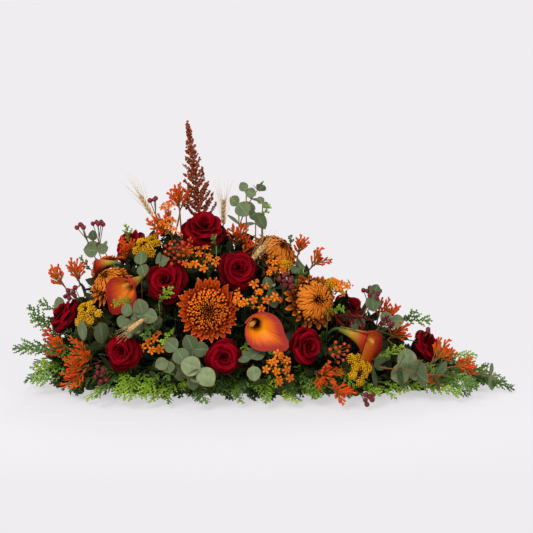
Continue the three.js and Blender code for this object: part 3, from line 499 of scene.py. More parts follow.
class Piece:
    """One visual piece: a mesh that grows from batches of points and faces, with the named LOOKS.

    Each point also keeps how far it is along its petal or leaf, how far across, a chance number
    that its petal shares, its side (0 the upper face, 1 the under face) and its nearness to the rim.
    """

    VALUES = ("along", "across", "chance", "side", "rim")

    def __init__(self, name, *looks):
        self.name = name
        self.looks = looks
        self.points = []
        self.faces = []
        self.kinds = []
        self.values = {value: [] for value in self.VALUES}
        self.count = 0

    def add(self, points, faces, look=0, **values):
        shape = points.shape[:-1]
        for name in self.VALUES:
            spread = np.broadcast_to(values.get(name, 0), shape)
            self.values[name].append(spread.reshape(-1))
        faces = faces.reshape(-1, faces.shape[-1])
        self.points.append(points.reshape(-1, 3))
        self.faces.append(faces + self.count)
        self.kinds.append(np.full(len(faces), look))
        self.count += self.points[-1].shape[0]

    def build(self, slot, *nodes):
        mesh = bpy.data.meshes.new(self.name)
        points = np.concatenate(self.points) * MM
        corners = np.concatenate([f.ravel() for f in self.faces])
        sizes = np.concatenate([np.full(len(f), f.shape[1]) for f in self.faces])
        starts = np.concatenate([[0], np.cumsum(sizes)[:-1]])
        mesh.vertices.add(len(points))
        mesh.vertices.foreach_set("co", points.ravel().astype(np.float32))
        mesh.loops.add(len(corners))
        mesh.loops.foreach_set("vertex_index", corners.astype(np.int32))
        mesh.polygons.add(len(sizes))
        mesh.polygons.foreach_set("loop_start", starts.astype(np.int32))
        mesh.polygons.foreach_set("material_index", np.concatenate(self.kinds).astype(np.int32))
        mesh.polygons.foreach_set("use_smooth", np.ones(len(sizes), bool))
        mesh.update(calc_edges=True)
        for name, parts in self.values.items():
            attribute = mesh.attributes.new(name, "FLOAT", "POINT")
            attribute.data.foreach_set("value", np.concatenate(parts).astype(np.float32))
        for look in self.looks:
            mesh.materials.append(LOOKS[look])
        piece = bpy.data.objects.new(self.name, mesh)
        bpy.context.scene.collection.objects.link(piece)
        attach(piece, "root")
        stood_for = [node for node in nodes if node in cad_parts]
        if stood_for:
            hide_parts(*stood_for)


def cells(rows, columns, round_it=False):
    """The quads of a grid of points. round_it joins the last column to the first."""
    r = np.arange(rows - 1)[:, None]
    c = np.arange(columns if round_it else columns - 1)[None, :]
    after = (c + 1) % columns
    a, b = r * columns + c, r * columns + after
    return np.stack([a, a + columns, b + columns, b], -1).reshape(-1, 4)


def repeat(faces, count, points):
    """The same faces for each of count copies with that many points."""
    return faces[None] + (np.arange(count) * points)[:, None, None]


def blades(piece, grid, thick, look=0, chance=0, taper=True):
    """Thin closed leaves or petals over grid [N, rows, columns, 3]; rows run from foot to tip."""
    n, rows, columns, _ = grid.shape
    normal = unit(np.cross(np.gradient(grid, axis=1), np.gradient(grid, axis=2)))
    along, across = shares(rows, columns)
    rim = np.maximum(np.abs(across), along if taper else 0)
    body = np.sqrt(np.clip(1 - rim ** 4, 0, 1))
    lift = normal * (body * thick / 2)[..., None]
    chance = column(chance, n, 3)
    quads = cells(rows, columns)
    for side, faces in ((0, quads), (1, quads[:, ::-1])):
        faces = repeat(faces, n, rows * columns)
        points = grid + (1 - 2 * side) * lift
        piece.add(points, faces, look, along=along, across=across, side=side, chance=chance, rim=rim)


def rounds(piece, points, rows, sides, look, along, chance):
    """Closed round bodies [N, rows * sides + 2, 3]: rings of points, then the pole at either end."""
    n, size, _ = points.shape
    here = np.arange(sides)
    after = (here + 1) % sides
    last = size - 2 - sides
    quads = cells(rows, sides, round_it=True)[:, ::-1]
    caps = np.concatenate([
        np.stack([after, here, np.full(sides, size - 2)], -1),
        np.stack([last + here, last + after, np.full(sides, size - 1)], -1),
    ])
    start = piece.count
    piece.add(points, repeat(quads, n, size), look, along=along, chance=column(chance, n))
    piece.faces.append(repeat(caps, n, size).reshape(-1, 3) + start)
    piece.kinds.append(np.full(n * len(caps), look))


def tubes(piece, paths, radii, sides=6, look=0, chance=0, along=None):
    """Rods along paths [N, K, 3] with radii that can be given for each point, closed at both ends."""
    n, k, _ = paths.shape
    radii = np.broadcast_to(radii, (n, k))
    tangent = unit(np.gradient(paths, axis=1))
    normal = frames(tangent[:, 0])[0]
    normals = []
    for step in range(k):
        t = tangent[:, step]
        normal = unit(normal - (normal * t).sum(-1, keepdims=True) * t)
        normals.append(normal)
    normal = np.stack(normals, 1)
    binormal = np.cross(tangent, normal)
    turn = np.linspace(0, 2 * math.pi, sides, endpoint=False)[:, None]
    ring = np.cos(turn) * normal[:, :, None] + np.sin(turn) * binormal[:, :, None]
    rings = paths[:, :, None] + radii[:, :, None, None] * ring
    foot = paths[:, :1] - tangent[:, :1] * radii[:, :1, None] * 0.4
    end = paths[:, -1:] + tangent[:, -1:] * radii[:, -1:, None] * 0.8
    length = np.broadcast_to(np.linspace(0, 1, k) if along is None else along, (n, k))
    along = np.concatenate([np.repeat(length, sides, axis=1), length[:, :1], length[:, -1:]], 1)
    points = np.concatenate([rings.reshape(n, -1, 3), foot, end], 1)
    rounds(piece, points, k, sides, look, along, chance)


def rod(piece, start, end, lift, count, radii, sides, look=0, chance=0, along=None):
    """A rod of count points from start to end, with its middle lifted."""
    middle = (start + end) / 2 + UP * lift
    tubes(piece, bend(start, middle, end, count), radii, sides, look, chance, along)


def lathes(piece, centres, axes, profile, sizes, sides=8, look=0, chance=0):
    """Round bodies with that profile of (radius, height), from pole to pole, at each centre."""
    radius, height = np.asarray(profile, float).T
    n, k = len(centres), len(profile) - 2
    u, v, a = frames(np.broadcast_to(axes, centres.shape))
    sizes = column(sizes, n, 4)
    turn = np.linspace(0, 2 * math.pi, sides, endpoint=False)[:, None]
    ring = np.cos(turn) * u[:, None] + np.sin(turn) * v[:, None]
    body = radius[1:-1, None, None] * ring[:, None] + height[1:-1, None, None] * a[:, None, None]
    poles = height[[0, -1], None] * a[:, None]
    points = np.concatenate([(body * sizes).reshape(n, -1, 3), poles * sizes[:, 0]], 1) + centres[:, None]
    along = np.concatenate([np.repeat(np.linspace(0, 1, k), sides), [0, 1]])
    rounds(piece, points, k, sides, look, along, chance)


# A spindle's faces, and its thickness as a share of its width
SPINDLE_FACES = np.array([
    (0, 2, 3), (0, 3, 4), (0, 4, 5), (0, 5, 2), (1, 3, 2), (1, 4, 3), (1, 5, 4), (1, 2, 5),
])
SPINDLE_FLATNESS = 0.45


def spindles(piece, starts, ends, flat, widths, look, along, chance):
    """Flat twigs that taper to both ends; flat is the direction square to their broad face."""
    n = len(starts)
    way = unit(ends - starts)
    side = unit(np.cross(flat, way))
    upward = np.cross(way, side)
    widths = column(widths, n) / 2
    middle = starts + (ends - starts) * 0.5
    points = np.stack([
        starts, ends, middle + side * widths, middle + upward * widths * SPINDLE_FLATNESS,
        middle - side * widths, middle - upward * widths * SPINDLE_FLATNESS,
    ], 1)
    faces = repeat(SPINDLE_FACES, n, 6)
    piece.add(points, faces, look, along=column(along, n), chance=column(chance, n))


def scales(piece, starts, ends, flat, widths, look, along, chance):
    """Small blunt leaves of two faces folded along the middle."""
    n = len(starts)
    way = unit(ends - starts)
    side = unit(np.cross(flat, way))
    drop = np.cross(way, side) * 0.35
    middle = starts + (ends - starts) * 0.62
    widths = column(widths, n) / 2
    points = np.stack([starts, ends, middle + (side - drop) * widths, middle - (side + drop) * widths], 1)
    faces = repeat(np.array([(0, 1, 2), (0, 3, 1)]), n, 4)
    piece.add(points, faces, look, along=column(along, n), chance=column(chance, n))


def sheets(piece, grid, look=0, chance=0):
    """Leaves of a single sheet over grid [N, rows, columns, 3]."""
    n, rows, columns, _ = grid.shape
    along, across = shares(rows, columns)
    faces = repeat(cells(rows, columns), n, rows * columns)
    piece.add(grid, faces, look, along=along, across=across, chance=column(chance, n, 3))


# Profiles of berries, beads, grains and the calyx on a berry: radius and height
BALL = [(0, -1), (0.5, -0.87), (0.87, -0.5), (1, 0), (0.87, 0.5), (0.5, 0.87), (0, 1)]
BEAD = [(0, -1), (0.8, -0.6), (1, 0.1), (0.6, 0.8), (0, 1)]
GRAIN = [(0, -1), (0.34, -0.72), (0.46, -0.1), (0.3, 0.6), (0.1, 0.95), (0, 1.1)]
CALYX = [(0, -1), (1.6, 0.2), (1.1, 0.6), (0.5, 0.3), (0, 0.2)]


# Looks

WHITE = (1, 1, 1)


class Look:
    """A material, with short ways to add its nodes."""

    def __init__(self, name, **settings):
        self.material = bpy.data.materials.new(name)
        self.material.use_nodes = True
        self.tree = self.material.node_tree
        self.shader = self.tree.nodes["Principled BSDF"]
        for socket, value in settings.items():
            self.shader.inputs[socket.replace("_", " ")].default_value = value

    def node(self, kind, inputs, **options):
        node = self.tree.nodes.new(kind)
        for option, value in options.items():
            setattr(node, option, value)
        for socket, value in inputs.items():
            if isinstance(value, bpy.types.NodeSocket):
                self.tree.links.new(value, node.inputs[socket])
            else:
                node.inputs[socket].default_value = value
        return node

    def value(self, name):
        return self.node("ShaderNodeAttribute", {}, attribute_name=name).outputs["Fac"]

    def in_object(self):
        return self.node("ShaderNodeTexCoord", {}).outputs["Object"]

    def noise(self, scale, detail=3):
        inputs = {"Vector": self.in_object(), "Scale": scale, "Detail": detail}
        return self.node("ShaderNodeTexNoise", inputs).outputs["Fac"]

    def streaks(self, along, across, count, detail=2):
        """Noise that is long along the petal and fine across it."""
        inputs = {"X": self.math("MULTIPLY", self.value("across"), across),
                  "Y": self.math("MULTIPLY", self.value("along"), along),
                  "Z": self.math("MULTIPLY", self.value("chance"), 37.0)}
        vector = self.node("ShaderNodeCombineXYZ", inputs).outputs[0]
        inputs = {"Vector": vector, "Scale": count, "Detail": detail}
        return self.node("ShaderNodeTexNoise", inputs).outputs["Fac"]

    def math(self, operation, a, b=0.0, c=0.0):
        return self.node("ShaderNodeMath", {0: a, 1: b, 2: c}, operation=operation).outputs[0]

    def times(self, a, b):
        return self.math("MULTIPLY", a, b)

    def tint(self, low, high):
        """Between two colours, by the chance number that each petal or leaf has."""
        return self.mix(self.value("chance"), low, high)

    def shaded(self, colour, shade):
        return self.mix(1.0, colour, shade, "MULTIPLY")

    def ramp(self, share, *stops):
        node = self.node("ShaderNodeValToRGB", {"Fac": share})
        elements = node.color_ramp.elements
        while len(elements) < len(stops):
            elements.new(0.5)
        for element, (position, colour) in zip(elements, stops):
            element.position = position
            element.color = (*colour, 1)
        return node.outputs["Color"]

    def levels(self, share, low, high):
        """share stretched so that low becomes 0 and high becomes 1."""
        inputs = {0: share, 1: low, 2: high, 3: 0.0, 4: 1.0}
        return self.node("ShaderNodeMapRange", inputs).outputs[0]

    def mix(self, share, a, b, blend="MIX"):
        a, b = ((*x, 1) if isinstance(x, tuple) else x for x in (a, b))
        node = self.node("ShaderNodeMix", {0: share, 6: a, 7: b}, data_type="RGBA", blend_type=blend)
        return node.outputs[2]

    def finish(self, colour, bump=None, strength=0.3, distance=0.5, roughness=None):
        self.tree.links.new(colour, self.shader.inputs["Base Color"])
        if bump is not None:
            inputs = {"Height": bump, "Strength": strength, "Distance": distance * MM}
            normal = self.node("ShaderNodeBump", inputs).outputs["Normal"]
            self.tree.links.new(normal, self.shader.inputs["Normal"])
        if roughness is not None:
            self.tree.links.new(roughness, self.shader.inputs["Roughness"])
        return self.material

    def show(self, surface):
        """Makes the given shader the material's surface."""
        self.tree.links.new(surface, self.tree.nodes["Material Output"].inputs["Surface"])
        return self.material


def grain_look(name, roughness, gloss, patches, stops, bump, strength=0.3, distance=0.4):
    """Colours in soft patches, with a fine bump."""
    look = Look(name, Roughness=roughness, Specular_IOR_Level=gloss)
    return look.finish(look.ramp(look.noise(patches), *stops), look.noise(bump), strength, distance)


def rose_look():
    look = Look("rose_crimson_painted_shade_highlight", Roughness=0.6, Specular_IOR_Level=0.02)
    # Painted shade and painted highlight: each petal is near black at its foot, deep in the bloom where shade
    # falls, and turns bright red at its rim as if lit there
    depth = look.ramp(look.value("along"), (0, (0.004, 0.0, 0.0003)), (0.5, (0.018, 0.0001, 0.0007)),
                      (0.84, (0.075, 0.0002, 0.002)), (1, (0.33, 0.0014, 0.01)))
    streak = look.streaks(1.2, 9, 1.6, 4)
    veined = look.mix(look.levels(streak, 0.35, 0.75), depth, look.mix(0.4, depth, (0.02, 0.0, 0.0006)))
    colour = look.shaded(veined, look.tint((0.62, 0.62, 0.62), (1.14, 1.12, 1.12)))
    height = look.math("ADD", look.times(streak, 0.8), look.times(look.noise(900, 2), 0.2))
    return look.finish(colour, height, 0.15, 0.4)


def stem_look():
    stops = (0.3, (0.045, 0.085, 0.02)), (0.6, (0.09, 0.15, 0.035)), (0.8, (0.13, 0.13, 0.04))
    return grain_look("green_stems", 0.5, 0.35, 60, stops, 400)


def mum_look(name, upper, margin, under, tip, tip_from, painted_shade_to):
    look = Look(name, Roughness=0.55, Specular_IOR_Level=0.12)
    along = look.value("along")
    edge = look.math("POWER", look.math("ABSOLUTE", look.value("across")), 1.8)
    top = look.mix(look.times(edge, 0.9), upper, margin)
    both = look.mix(look.value("side"), top, under)
    ended = look.mix(look.levels(along, tip_from, 0.93), both, tip)
    ribs = look.streaks(1.0, 5, 2.2, 2)
    colour = look.shaded(ended, look.ramp(ribs, (0.3, (0.66, 0.56, 0.5)), (0.65, (1.1, 1.1, 1.1))))
    # Painted shade: each petal turns near black toward its foot, deep in the bloom between the petals, up to
    # the given share along it
    dark = look.mix(0.9, colour, (0.03, 0.003, 0.0006))
    colour = look.mix(look.levels(along, painted_shade_to - 0.55, painted_shade_to), dark, colour)
    colour = look.shaded(colour, look.tint((0.8, 0.7, 0.62), (1.14, 1.1, 1.06)))
    return look.finish(colour, ribs, 0.5, 0.5)


def mum_heart_look():
    stops = (0.3, (0.02, 0.003, 0.001)), (0.7, (0.07, 0.014, 0.002))
    return grain_look("mum_heart", 0.8, 0.05, 300, stops, 600, 0.4)


def calla_look(name, heart, limb, rim, back):
    look = Look(name, Roughness=0.45, Specular_IOR_Level=0.16, Subsurface_Weight=0.06, Subsurface_Scale=0.003)
    look.shader.inputs["Subsurface Radius"].default_value = (1.0, 0.35, 0.1)
    streak = look.streaks(0.6, 16, 1.8, 3)
    uneven = look.math("ADD", look.value("along"), look.times(look.math("SUBTRACT", streak, 0.5), 0.26))
    # Painted shade: the spathe's inside goes near black down in the throat, where shade falls, and turns to
    # the heart colour further out
    dark = (heart[0] * 0.12, heart[1] * 0.06, heart[2] * 0.1)
    inner = look.ramp(uneven, (0.4, dark), (0.62, heart), (0.8, limb), (0.93, rim))
    outer = look.ramp(uneven, (0.02, (0.12, 0.2, 0.03)), (0.3, (0.5, 0.3, 0.03)), (0.66, back), (0.97, rim))
    return look.finish(look.mix(look.value("side"), inner, outer), streak, 0.25, 0.6)


def spadix_look():
    stops = (0.3, (0.55, 0.2, 0.015)), (0.7, (0.85, 0.42, 0.04))
    return grain_look("calla_spadix", 0.6, 0.5, 500, stops, 900, 0.6, 0.6)


def green_look(name, dark, mid, light):
    """Scaly greens: dark inside, light at the tips."""
    look = Look(name, Roughness=0.6, Specular_IOR_Level=0.12)
    share = look.math("ADD", look.times(look.value("along"), 0.6), look.times(look.value("chance"), 0.55))
    patches = look.times(look.math("SUBTRACT", look.noise(45, 2), 0.5), 0.5)
    colour = look.ramp(look.math("ADD", share, patches), (0.15, dark), (0.55, mid), (0.95, light))
    scaly = look.node("ShaderNodeTexVoronoi", {"Vector": look.in_object(), "Scale": 650.0})
    return look.finish(colour, scaly.outputs["Distance"], 0.5, 0.5)


def eucalyptus_look():
    look = Look("eucalyptus_leaf", Roughness=0.6, Specular_IOR_Level=0.15)
    vein = (0.34, 0.38, 0.22)
    off_middle = look.math("ABSOLUTE", look.value("across"))
    bloom = look.tint((0.055, 0.085, 0.034), (0.27, 0.325, 0.16))
    dull = look.mix(0.5, bloom, (0.05, 0.08, 0.025))
    patches = look.mix(look.levels(look.noise(70, 4), 0.35, 0.7), bloom, dull)
    veined = look.mix(look.times(look.math("LESS_THAN", off_middle, 0.045), 0.4), patches, vein)
    slanted = look.math("SUBTRACT", look.times(look.value("along"), 1.0), look.times(off_middle, 0.35))
    fine = look.levels(look.math("SINE", look.times(slanted, 46.0)), 0.86, 1.0)
    veined = look.mix(look.times(fine, 0.2), veined, vein)
    rim = look.levels(look.value("rim"), 0.9, 1.0)
    return look.finish(look.mix(look.times(rim, 0.8), veined, (0.28, 0.1, 0.04)), fine, 0.25, 0.4)


def dark_leaf_look():
    look = Look("dark_leaf", Roughness=0.5, Specular_IOR_Level=0.15)
    tone = look.tint((0.006, 0.011, 0.003), (0.035, 0.05, 0.01))
    middle = look.math("LESS_THAN", look.math("ABSOLUTE", look.value("across")), 0.08)
    return look.finish(look.mix(look.times(middle, 0.4), tone, (0.08, 0.09, 0.02)), look.noise(300), 0.3, 0.4)


def twig_look(name, low, high):
    return grain_look(name, 0.6, 0.25, 120, ((0.35, low), (0.65, high)), 500)


def flame_look():
    look = Look("flame_branch", Roughness=0.65, Specular_IOR_Level=0.1)
    uneven = look.times(look.math("SUBTRACT", look.value("chance"), 0.5), 0.4)
    share = look.math("ADD", look.value("along"), uneven)
    colour = look.ramp(share, (0.0, (0.22, 0.1, 0.01)), (0.35, (0.5, 0.11, 0.006)),
                       (0.75, (0.7, 0.11, 0.005)), (1, (0.64, 0.045, 0.005)))
    return look.finish(colour, look.noise(1200), 0.6, 0.4)


def star_look():
    look = Look("star_petal", Roughness=0.55, Specular_IOR_Level=0.12)
    colour = look.ramp(look.value("along"), (0, (0.45, 0.07, 0.002)), (0.35, (0.8, 0.15, 0.003)),
                       (1, (0.84, 0.23, 0.005)))
    colour = look.shaded(colour, look.tint((0.8, 0.58, 0.7), (1.06, 1.2, 1.0)))
    return look.finish(colour, look.noise(700), 0.3, 0.4)


def yarrow_look():
    look = Look("yarrow_head", Roughness=0.75, Specular_IOR_Level=0.08)
    shade = look.ramp(look.value("along"), (0, (0.35, 0.28, 0.2)), (0.75, (1.0, 1.0, 1.0)))
    colour = look.shaded(look.tint((0.46, 0.2, 0.003), (0.86, 0.46, 0.008)), shade)
    return look.finish(colour, look.noise(1500), 0.5, 0.4)


def berry_look():
    look = Look("berry_skin", Roughness=0.38, Coat_Weight=0.1, Coat_Roughness=0.25, Specular_IOR_Level=0.3)
    skin = look.tint((0.09, 0.002, 0.008), (0.24, 0.006, 0.02))
    patch = look.mix(look.levels(look.noise(220), 0.45, 0.7), skin, (0.26, 0.012, 0.02))
    ends = look.ramp(look.value("along"), (0.0, (0.16, 0.05, 0.03)), (0.12, WHITE), (0.9, WHITE),
                     (1, (0.2, 0.1, 0.08)))
    return look.finish(look.shaded(patch, ends), look.noise(400), 0.15, 0.3)


def red_berry_look():
    look = Look("red_berry_skin", Roughness=0.45, Specular_IOR_Level=0.25)
    skin = look.tint((0.42, 0.01, 0.006), (0.75, 0.075, 0.006))
    ends = look.ramp(look.value("along"), (0.0, (0.3, 0.15, 0.1)), (0.12, WHITE), (0.97, WHITE),
                     (1, (0.5, 0.4, 0.3)))
    return look.finish(look.shaded(skin, ends), look.noise(400), 0.15, 0.3)


def straw_look():
    look = Look("straw", Roughness=0.5, Specular_IOR_Level=0.4)
    shade = look.ramp(look.value("along"), (0, (0.7, 0.62, 0.5)), (0.6, (1.05, 1.05, 1.0)))
    colour = look.shaded(look.tint((0.48, 0.27, 0.09), (0.75, 0.53, 0.25)), shade)
    return look.finish(colour, look.noise(500), 0.4, 0.4)


def plume_look(name, dark, light):
    look = Look(name, Roughness=0.75, Specular_IOR_Level=0.1)
    return look.finish(look.tint(dark, light), look.noise(1500), 0.6, 0.4)


def foam_look():
    look = Look("wet_foam", Roughness=0.9, Specular_IOR_Level=0.2)
    grain = look.noise(1400, 4)
    colour = look.ramp(grain, (0.35, (0.03, 0.075, 0.035)), (0.65, (0.065, 0.15, 0.07)))
    return look.finish(colour, grain, 0.8, 0.5)


def tray_look():
    look = Look("tray_plastic", Roughness=0.5, Specular_IOR_Level=0.4)
    colour = look.ramp(look.noise(30), (0.3, (0.016, 0.03, 0.018)), (0.7, (0.026, 0.044, 0.027)))
    roughness = look.ramp(look.noise(60), (0.3, (0.42, 0.42, 0.42)), (0.7, (0.6, 0.6, 0.6)))
    return look.finish(colour, look.noise(1800), 0.3, 0.3, roughness)


LOOKS = {
    "rose": rose_look(),
    "stem": stem_look(),
    "bronze": mum_look(
        "bronze_mum", upper=(0.45, 0.035, 0.0005), margin=(0.85, 0.13, 0.002), under=(0.78, 0.08, 0.0005),
        tip=(1.0, 0.42, 0.02), tip_from=0.81, painted_shade_to=0.68,
    ),
    "mum_heart": mum_heart_look(),
    "amber": mum_look(
        "amber_mum", upper=(0.46, 0.085, 0.003), margin=(0.78, 0.23, 0.013), under=(0.8, 0.25, 0.018),
        tip=(0.85, 0.25, 0.014), tip_from=0.7, painted_shade_to=0.86,
    ),
    "calla": calla_look(
        "calla_orange", heart=(0.86, 0.3, 0.004), limb=(0.72, 0.13, 0.006), rim=(0.36, 0.028, 0.018),
        back=(0.55, 0.08, 0.015),
    ),
    "calla_red": calla_look(
        "calla_red", heart=(0.78, 0.2, 0.004), limb=(0.55, 0.06, 0.006), rim=(0.33, 0.014, 0.01),
        back=(0.42, 0.035, 0.012),
    ),
    "spadix": spadix_look(),
    "green": green_look("cypress_green", (0.014, 0.034, 0.007), (0.08, 0.16, 0.028), (0.26, 0.4, 0.08)),
    "lime": green_look("cypress_lime", (0.035, 0.08, 0.006), (0.19, 0.32, 0.022), (0.42, 0.56, 0.06)),
    "deep": green_look("cypress_deep", (0.005, 0.012, 0.003), (0.022, 0.045, 0.01), (0.09, 0.16, 0.035)),
    "eucalyptus": eucalyptus_look(),
    "leaf": dark_leaf_look(),
    "twig": twig_look("rust_twig", (0.2, 0.07, 0.02), (0.34, 0.13, 0.035)),
    "stalk": twig_look("olive_stalk", (0.1, 0.09, 0.02), (0.2, 0.14, 0.03)),
    "green_stalk": twig_look("green_stalk", (0.1, 0.12, 0.015), (0.24, 0.24, 0.03)),
    "flame": flame_look(),
    "star": star_look(),
    "yarrow": yarrow_look(),
    "berry": berry_look(),
    "red_berry": red_berry_look(),
    "straw": straw_look(),
    "rust": plume_look("rust_plume", (0.12, 0.02, 0.006), (0.42, 0.09, 0.03)),
    "wine": plume_look("wine_plume", (0.07, 0.006, 0.006), (0.22, 0.018, 0.016)),
    "foam": foam_look(),
    "tray": tray_look(),
}


# Stems

def stem(piece, node, root, backward, radius, look, reach=30):
    """The stem from a bloom's foot to its hole in the foam."""
    root = np.asarray(root, float)
    path = bend(root, root + unit(backward) * reach, foot_in_foam(node, root), 12)
    tubes(piece, path, radius, 7, look)


# Roses

# From the innermost petal to the outermost: length as a share of the bloom's width, and in degrees the
# slope at the foot, at the side and at the rim, and half the width round the axis
ROSE_SHARES = (0, 0.25, 0.5, 0.75, 1)
ROSE_LENGTH = (0.74, 0.84, 0.87, 0.86, 0.84)
ROSE_FOOT_ANGLE = (82, 60, 42, 24, 8)
ROSE_SIDE_ANGLE = (91, 90, 87, 78, 64)
ROSE_RIM_ANGLE = (84, 30, -20, -75, -120)
ROSE_HALF_WIDTH = (120, 92, 72, 60, 52)

# The bloom's depth as a share of its width, and the profile of the hip under it
ROSE_DEPTH = 0.78
ROSE_HIP = [(0, -0.12), (0.05, -0.1), (0.085, -0.03), (0.07, 0.03), (0, 0.05)]

# Petals, rows and columns of the roses in view and of those behind
ROSE_GRID = (30, 13, 11)
ROSE_GRID_HIDDEN = (26, 10, 8)


def rose_petals(size, count, rows, columns, seed):
    """The petals' grid, foot at the origin, opening along z."""
    rng = np.random.default_rng(seed)
    t = np.linspace(0, 1, count)

    def table(values):
        return np.interp(t, ROSE_SHARES, values)

    length = size * table(ROSE_LENGTH) * rng.uniform(0.93, 1.06, count)
    foot = np.radians(table(ROSE_FOOT_ANGLE) + rng.uniform(-4, 4, count) * t)
    side = np.radians(table(ROSE_SIDE_ANGLE) + rng.uniform(-5, 4, count) * t)
    rim = np.radians(table(ROSE_RIM_ANGLE) + rng.uniform(-25, 25, count) * t)
    half = np.radians(table(ROSE_HALF_WIDTH)) * rng.uniform(0.9, 1.08, count)
    s, w = shares(rows, columns)
    s = s ** 0.85
    shape = (count, 1, 1)
    foot, side, rim, half, length, t = (x.reshape(shape) for x in (foot, side, rim, half, length, t))
    point = 0.05 * np.exp(-(w / 0.25) ** 2) * t
    reach = length * (1 + point - 0.13 * w ** 2 - 0.16 * w ** 4)
    rising = foot + (side - foot) * smooth(s / 0.4)
    rolled = rim - 0.7 * t * np.abs(w)
    angle = rising + (rolled - side) * smooth((s - 0.7) / 0.3) ** 1.2
    step = reach * np.diff(s, axis=1)
    middle_angle = (angle[:, 1:] + angle[:, :-1]) / 2
    start = np.zeros((count, 1, columns))
    out = np.concatenate([start, np.cumsum(np.cos(middle_angle) * step, axis=1)], 1)
    up = np.concatenate([start, np.cumsum(np.sin(middle_angle) * step, axis=1)], 1)
    phase = rng.uniform(0, 6.3, shape)
    swirl = size * (0.022 + 0.016 * t) * w * smooth(s * 2)
    out = size * 0.024 + out + swirl + size * 0.016 * np.sin(3.2 * w + phase) * s ** 2 * t
    up = up + size * 0.016 * np.sin(4.1 * w + 2 * phase) * s ** 3
    turn = np.arange(count).reshape(shape) * GOLDEN + seed + rng.uniform(-0.14, 0.14, shape)
    turn = turn + half * w * (0.45 + 0.55 * smooth(s / 0.5))
    return spun(turn, out, 0, up)


def sepals(size, count=5):
    """Narrow green leaves under a rose."""
    s, w = shares(7, 3)
    turn = (np.arange(count) * 2 * math.pi / count)[:, None, None]
    out = size * (0.05 + 0.28 * s)
    up = size * (-0.02 + 0.06 * np.sin(s * 3) - 0.06 * s ** 2)
    side = size * 0.055 * w * np.sin(np.pi * np.clip(s * 0.9 + 0.1, 0, 1))
    return spun(turn, out, side, up)


def rose(name, centre, size, bearing, height):
    piece = Piece(name + "_bloom", "rose", "stem")
    facing = heading(bearing, height)
    foot = np.array(centre) - 0.55 * (ROSE_DEPTH * size) * facing
    seed = len(name) * 7 + int(size)
    hidden = "back" in name or "behind" in name
    petals = rose_petals(size, *(ROSE_GRID_HIDDEN if hidden else ROSE_GRID), seed)
    rng = np.random.default_rng(seed)
    blades(piece, place(foot, facing, petals), THICK["rose"], 0, rng.uniform(0, 1, len(petals)))
    blades(piece, place(foot, facing, sepals(size)), THICK["sepal"], 1)
    lathes(piece, foot[None], facing, ROSE_HIP, size, 10, 1)
    root = foot + 3.5 * frames(facing)[0] + 6 * facing
    stem(piece, name, root, -facing, STEM["rose"], 1)
    piece.build("rose_petals", name)


# Chrysanthemums

# From the heart to the outermost petal: where petals end, how high they rise, their hook and their width,
# as shares of the bloom's width; the bulge as a share of the rise, the foot as a share of the place where
# they end, and how round their tips are
MUM_SHARES = (0, 0.25, 0.45, 0.65, 0.82, 0.92, 1)
MUM_FORMS = {
    "hooked": {
        "ring": (0.01, 0.085, 0.16, 0.24, 0.33, 0.42, 0.51),
        "rise": (0.12, 0.13, 0.15, 0.155, 0.14, 0.09, 0.02),
        "bulge": (0.6, 0.6, 0.65, 0.65, 0.6, 0.4, 0.2),
        "hook": (0.0, 0.01, 0.02, 0.026, 0.028, 0.0, -0.02),
        "width": (0.02, 0.028, 0.036, 0.045, 0.058, 0.086, 0.096),
        "foot": (0.4, 0.95, 0.96, 0.94, 0.9, 0.6, 0.4),
        "round": (0.9, 0.8, 0.7, 0.65, 0.6, 0.35, 0.15),
        "count": 300,
    },
    "spoon": {
        "ring": (0.02, 0.09, 0.17, 0.26, 0.35, 0.43, 0.52),
        "rise": (0.15, 0.21, 0.25, 0.24, 0.18, 0.08, -0.05),
        "bulge": (0.6, 0.65, 0.7, 0.7, 0.7, 0.7, 0.5),
        "hook": (0.01, 0.03, 0.05, 0.06, 0.05, 0.0, -0.03),
        "width": (0.026, 0.04, 0.05, 0.058, 0.072, 0.09, 0.098),
        "foot": (0.3, 0.9, 0.95, 0.94, 0.86, 0.6, 0.36),
        "round": (0.8, 0.85, 0.85, 0.8, 0.7, 0.5, 0.4),
        "count": 210,
    },
    "reflexed": {
        "ring": (0.02, 0.09, 0.19, 0.3, 0.38, 0.43, 0.51),
        "rise": (0.2, 0.27, 0.29, 0.23, 0.12, 0.02, -0.16),
        "bulge": (0.6, 0.7, 0.75, 0.8, 0.9, 0.9, 0.8),
        "hook": (0.01, 0.03, 0.05, 0.045, 0.0, -0.04, -0.06),
        "width": (0.026, 0.04, 0.052, 0.062, 0.076, 0.086, 0.095),
        "foot": (0.3, 0.88, 0.93, 0.9, 0.72, 0.48, 0.36),
        "round": (0.8, 0.85, 0.85, 0.75, 0.6, 0.5, 0.4),
        "count": 220,
    },
}

# Rows of a petal and the share of all petals, for the blooms in view and for those at the back
MUM_GRID = (7, 1)
MUM_GRID_HIDDEN = (5, 0.8)

# Profiles of the green cup and the dark heart
MUM_CUP = [(0, -0.1), (0.06, -0.09), (0.2, -0.05), (0.25, 0.0), (0.2, 0.0), (0, 0.01)]
MUM_HEART = [(0, -0.01), (0.36, -0.005), (0.35, 0.03), (0.25, 0.05), (0.1, 0.06), (0, 0.06)]


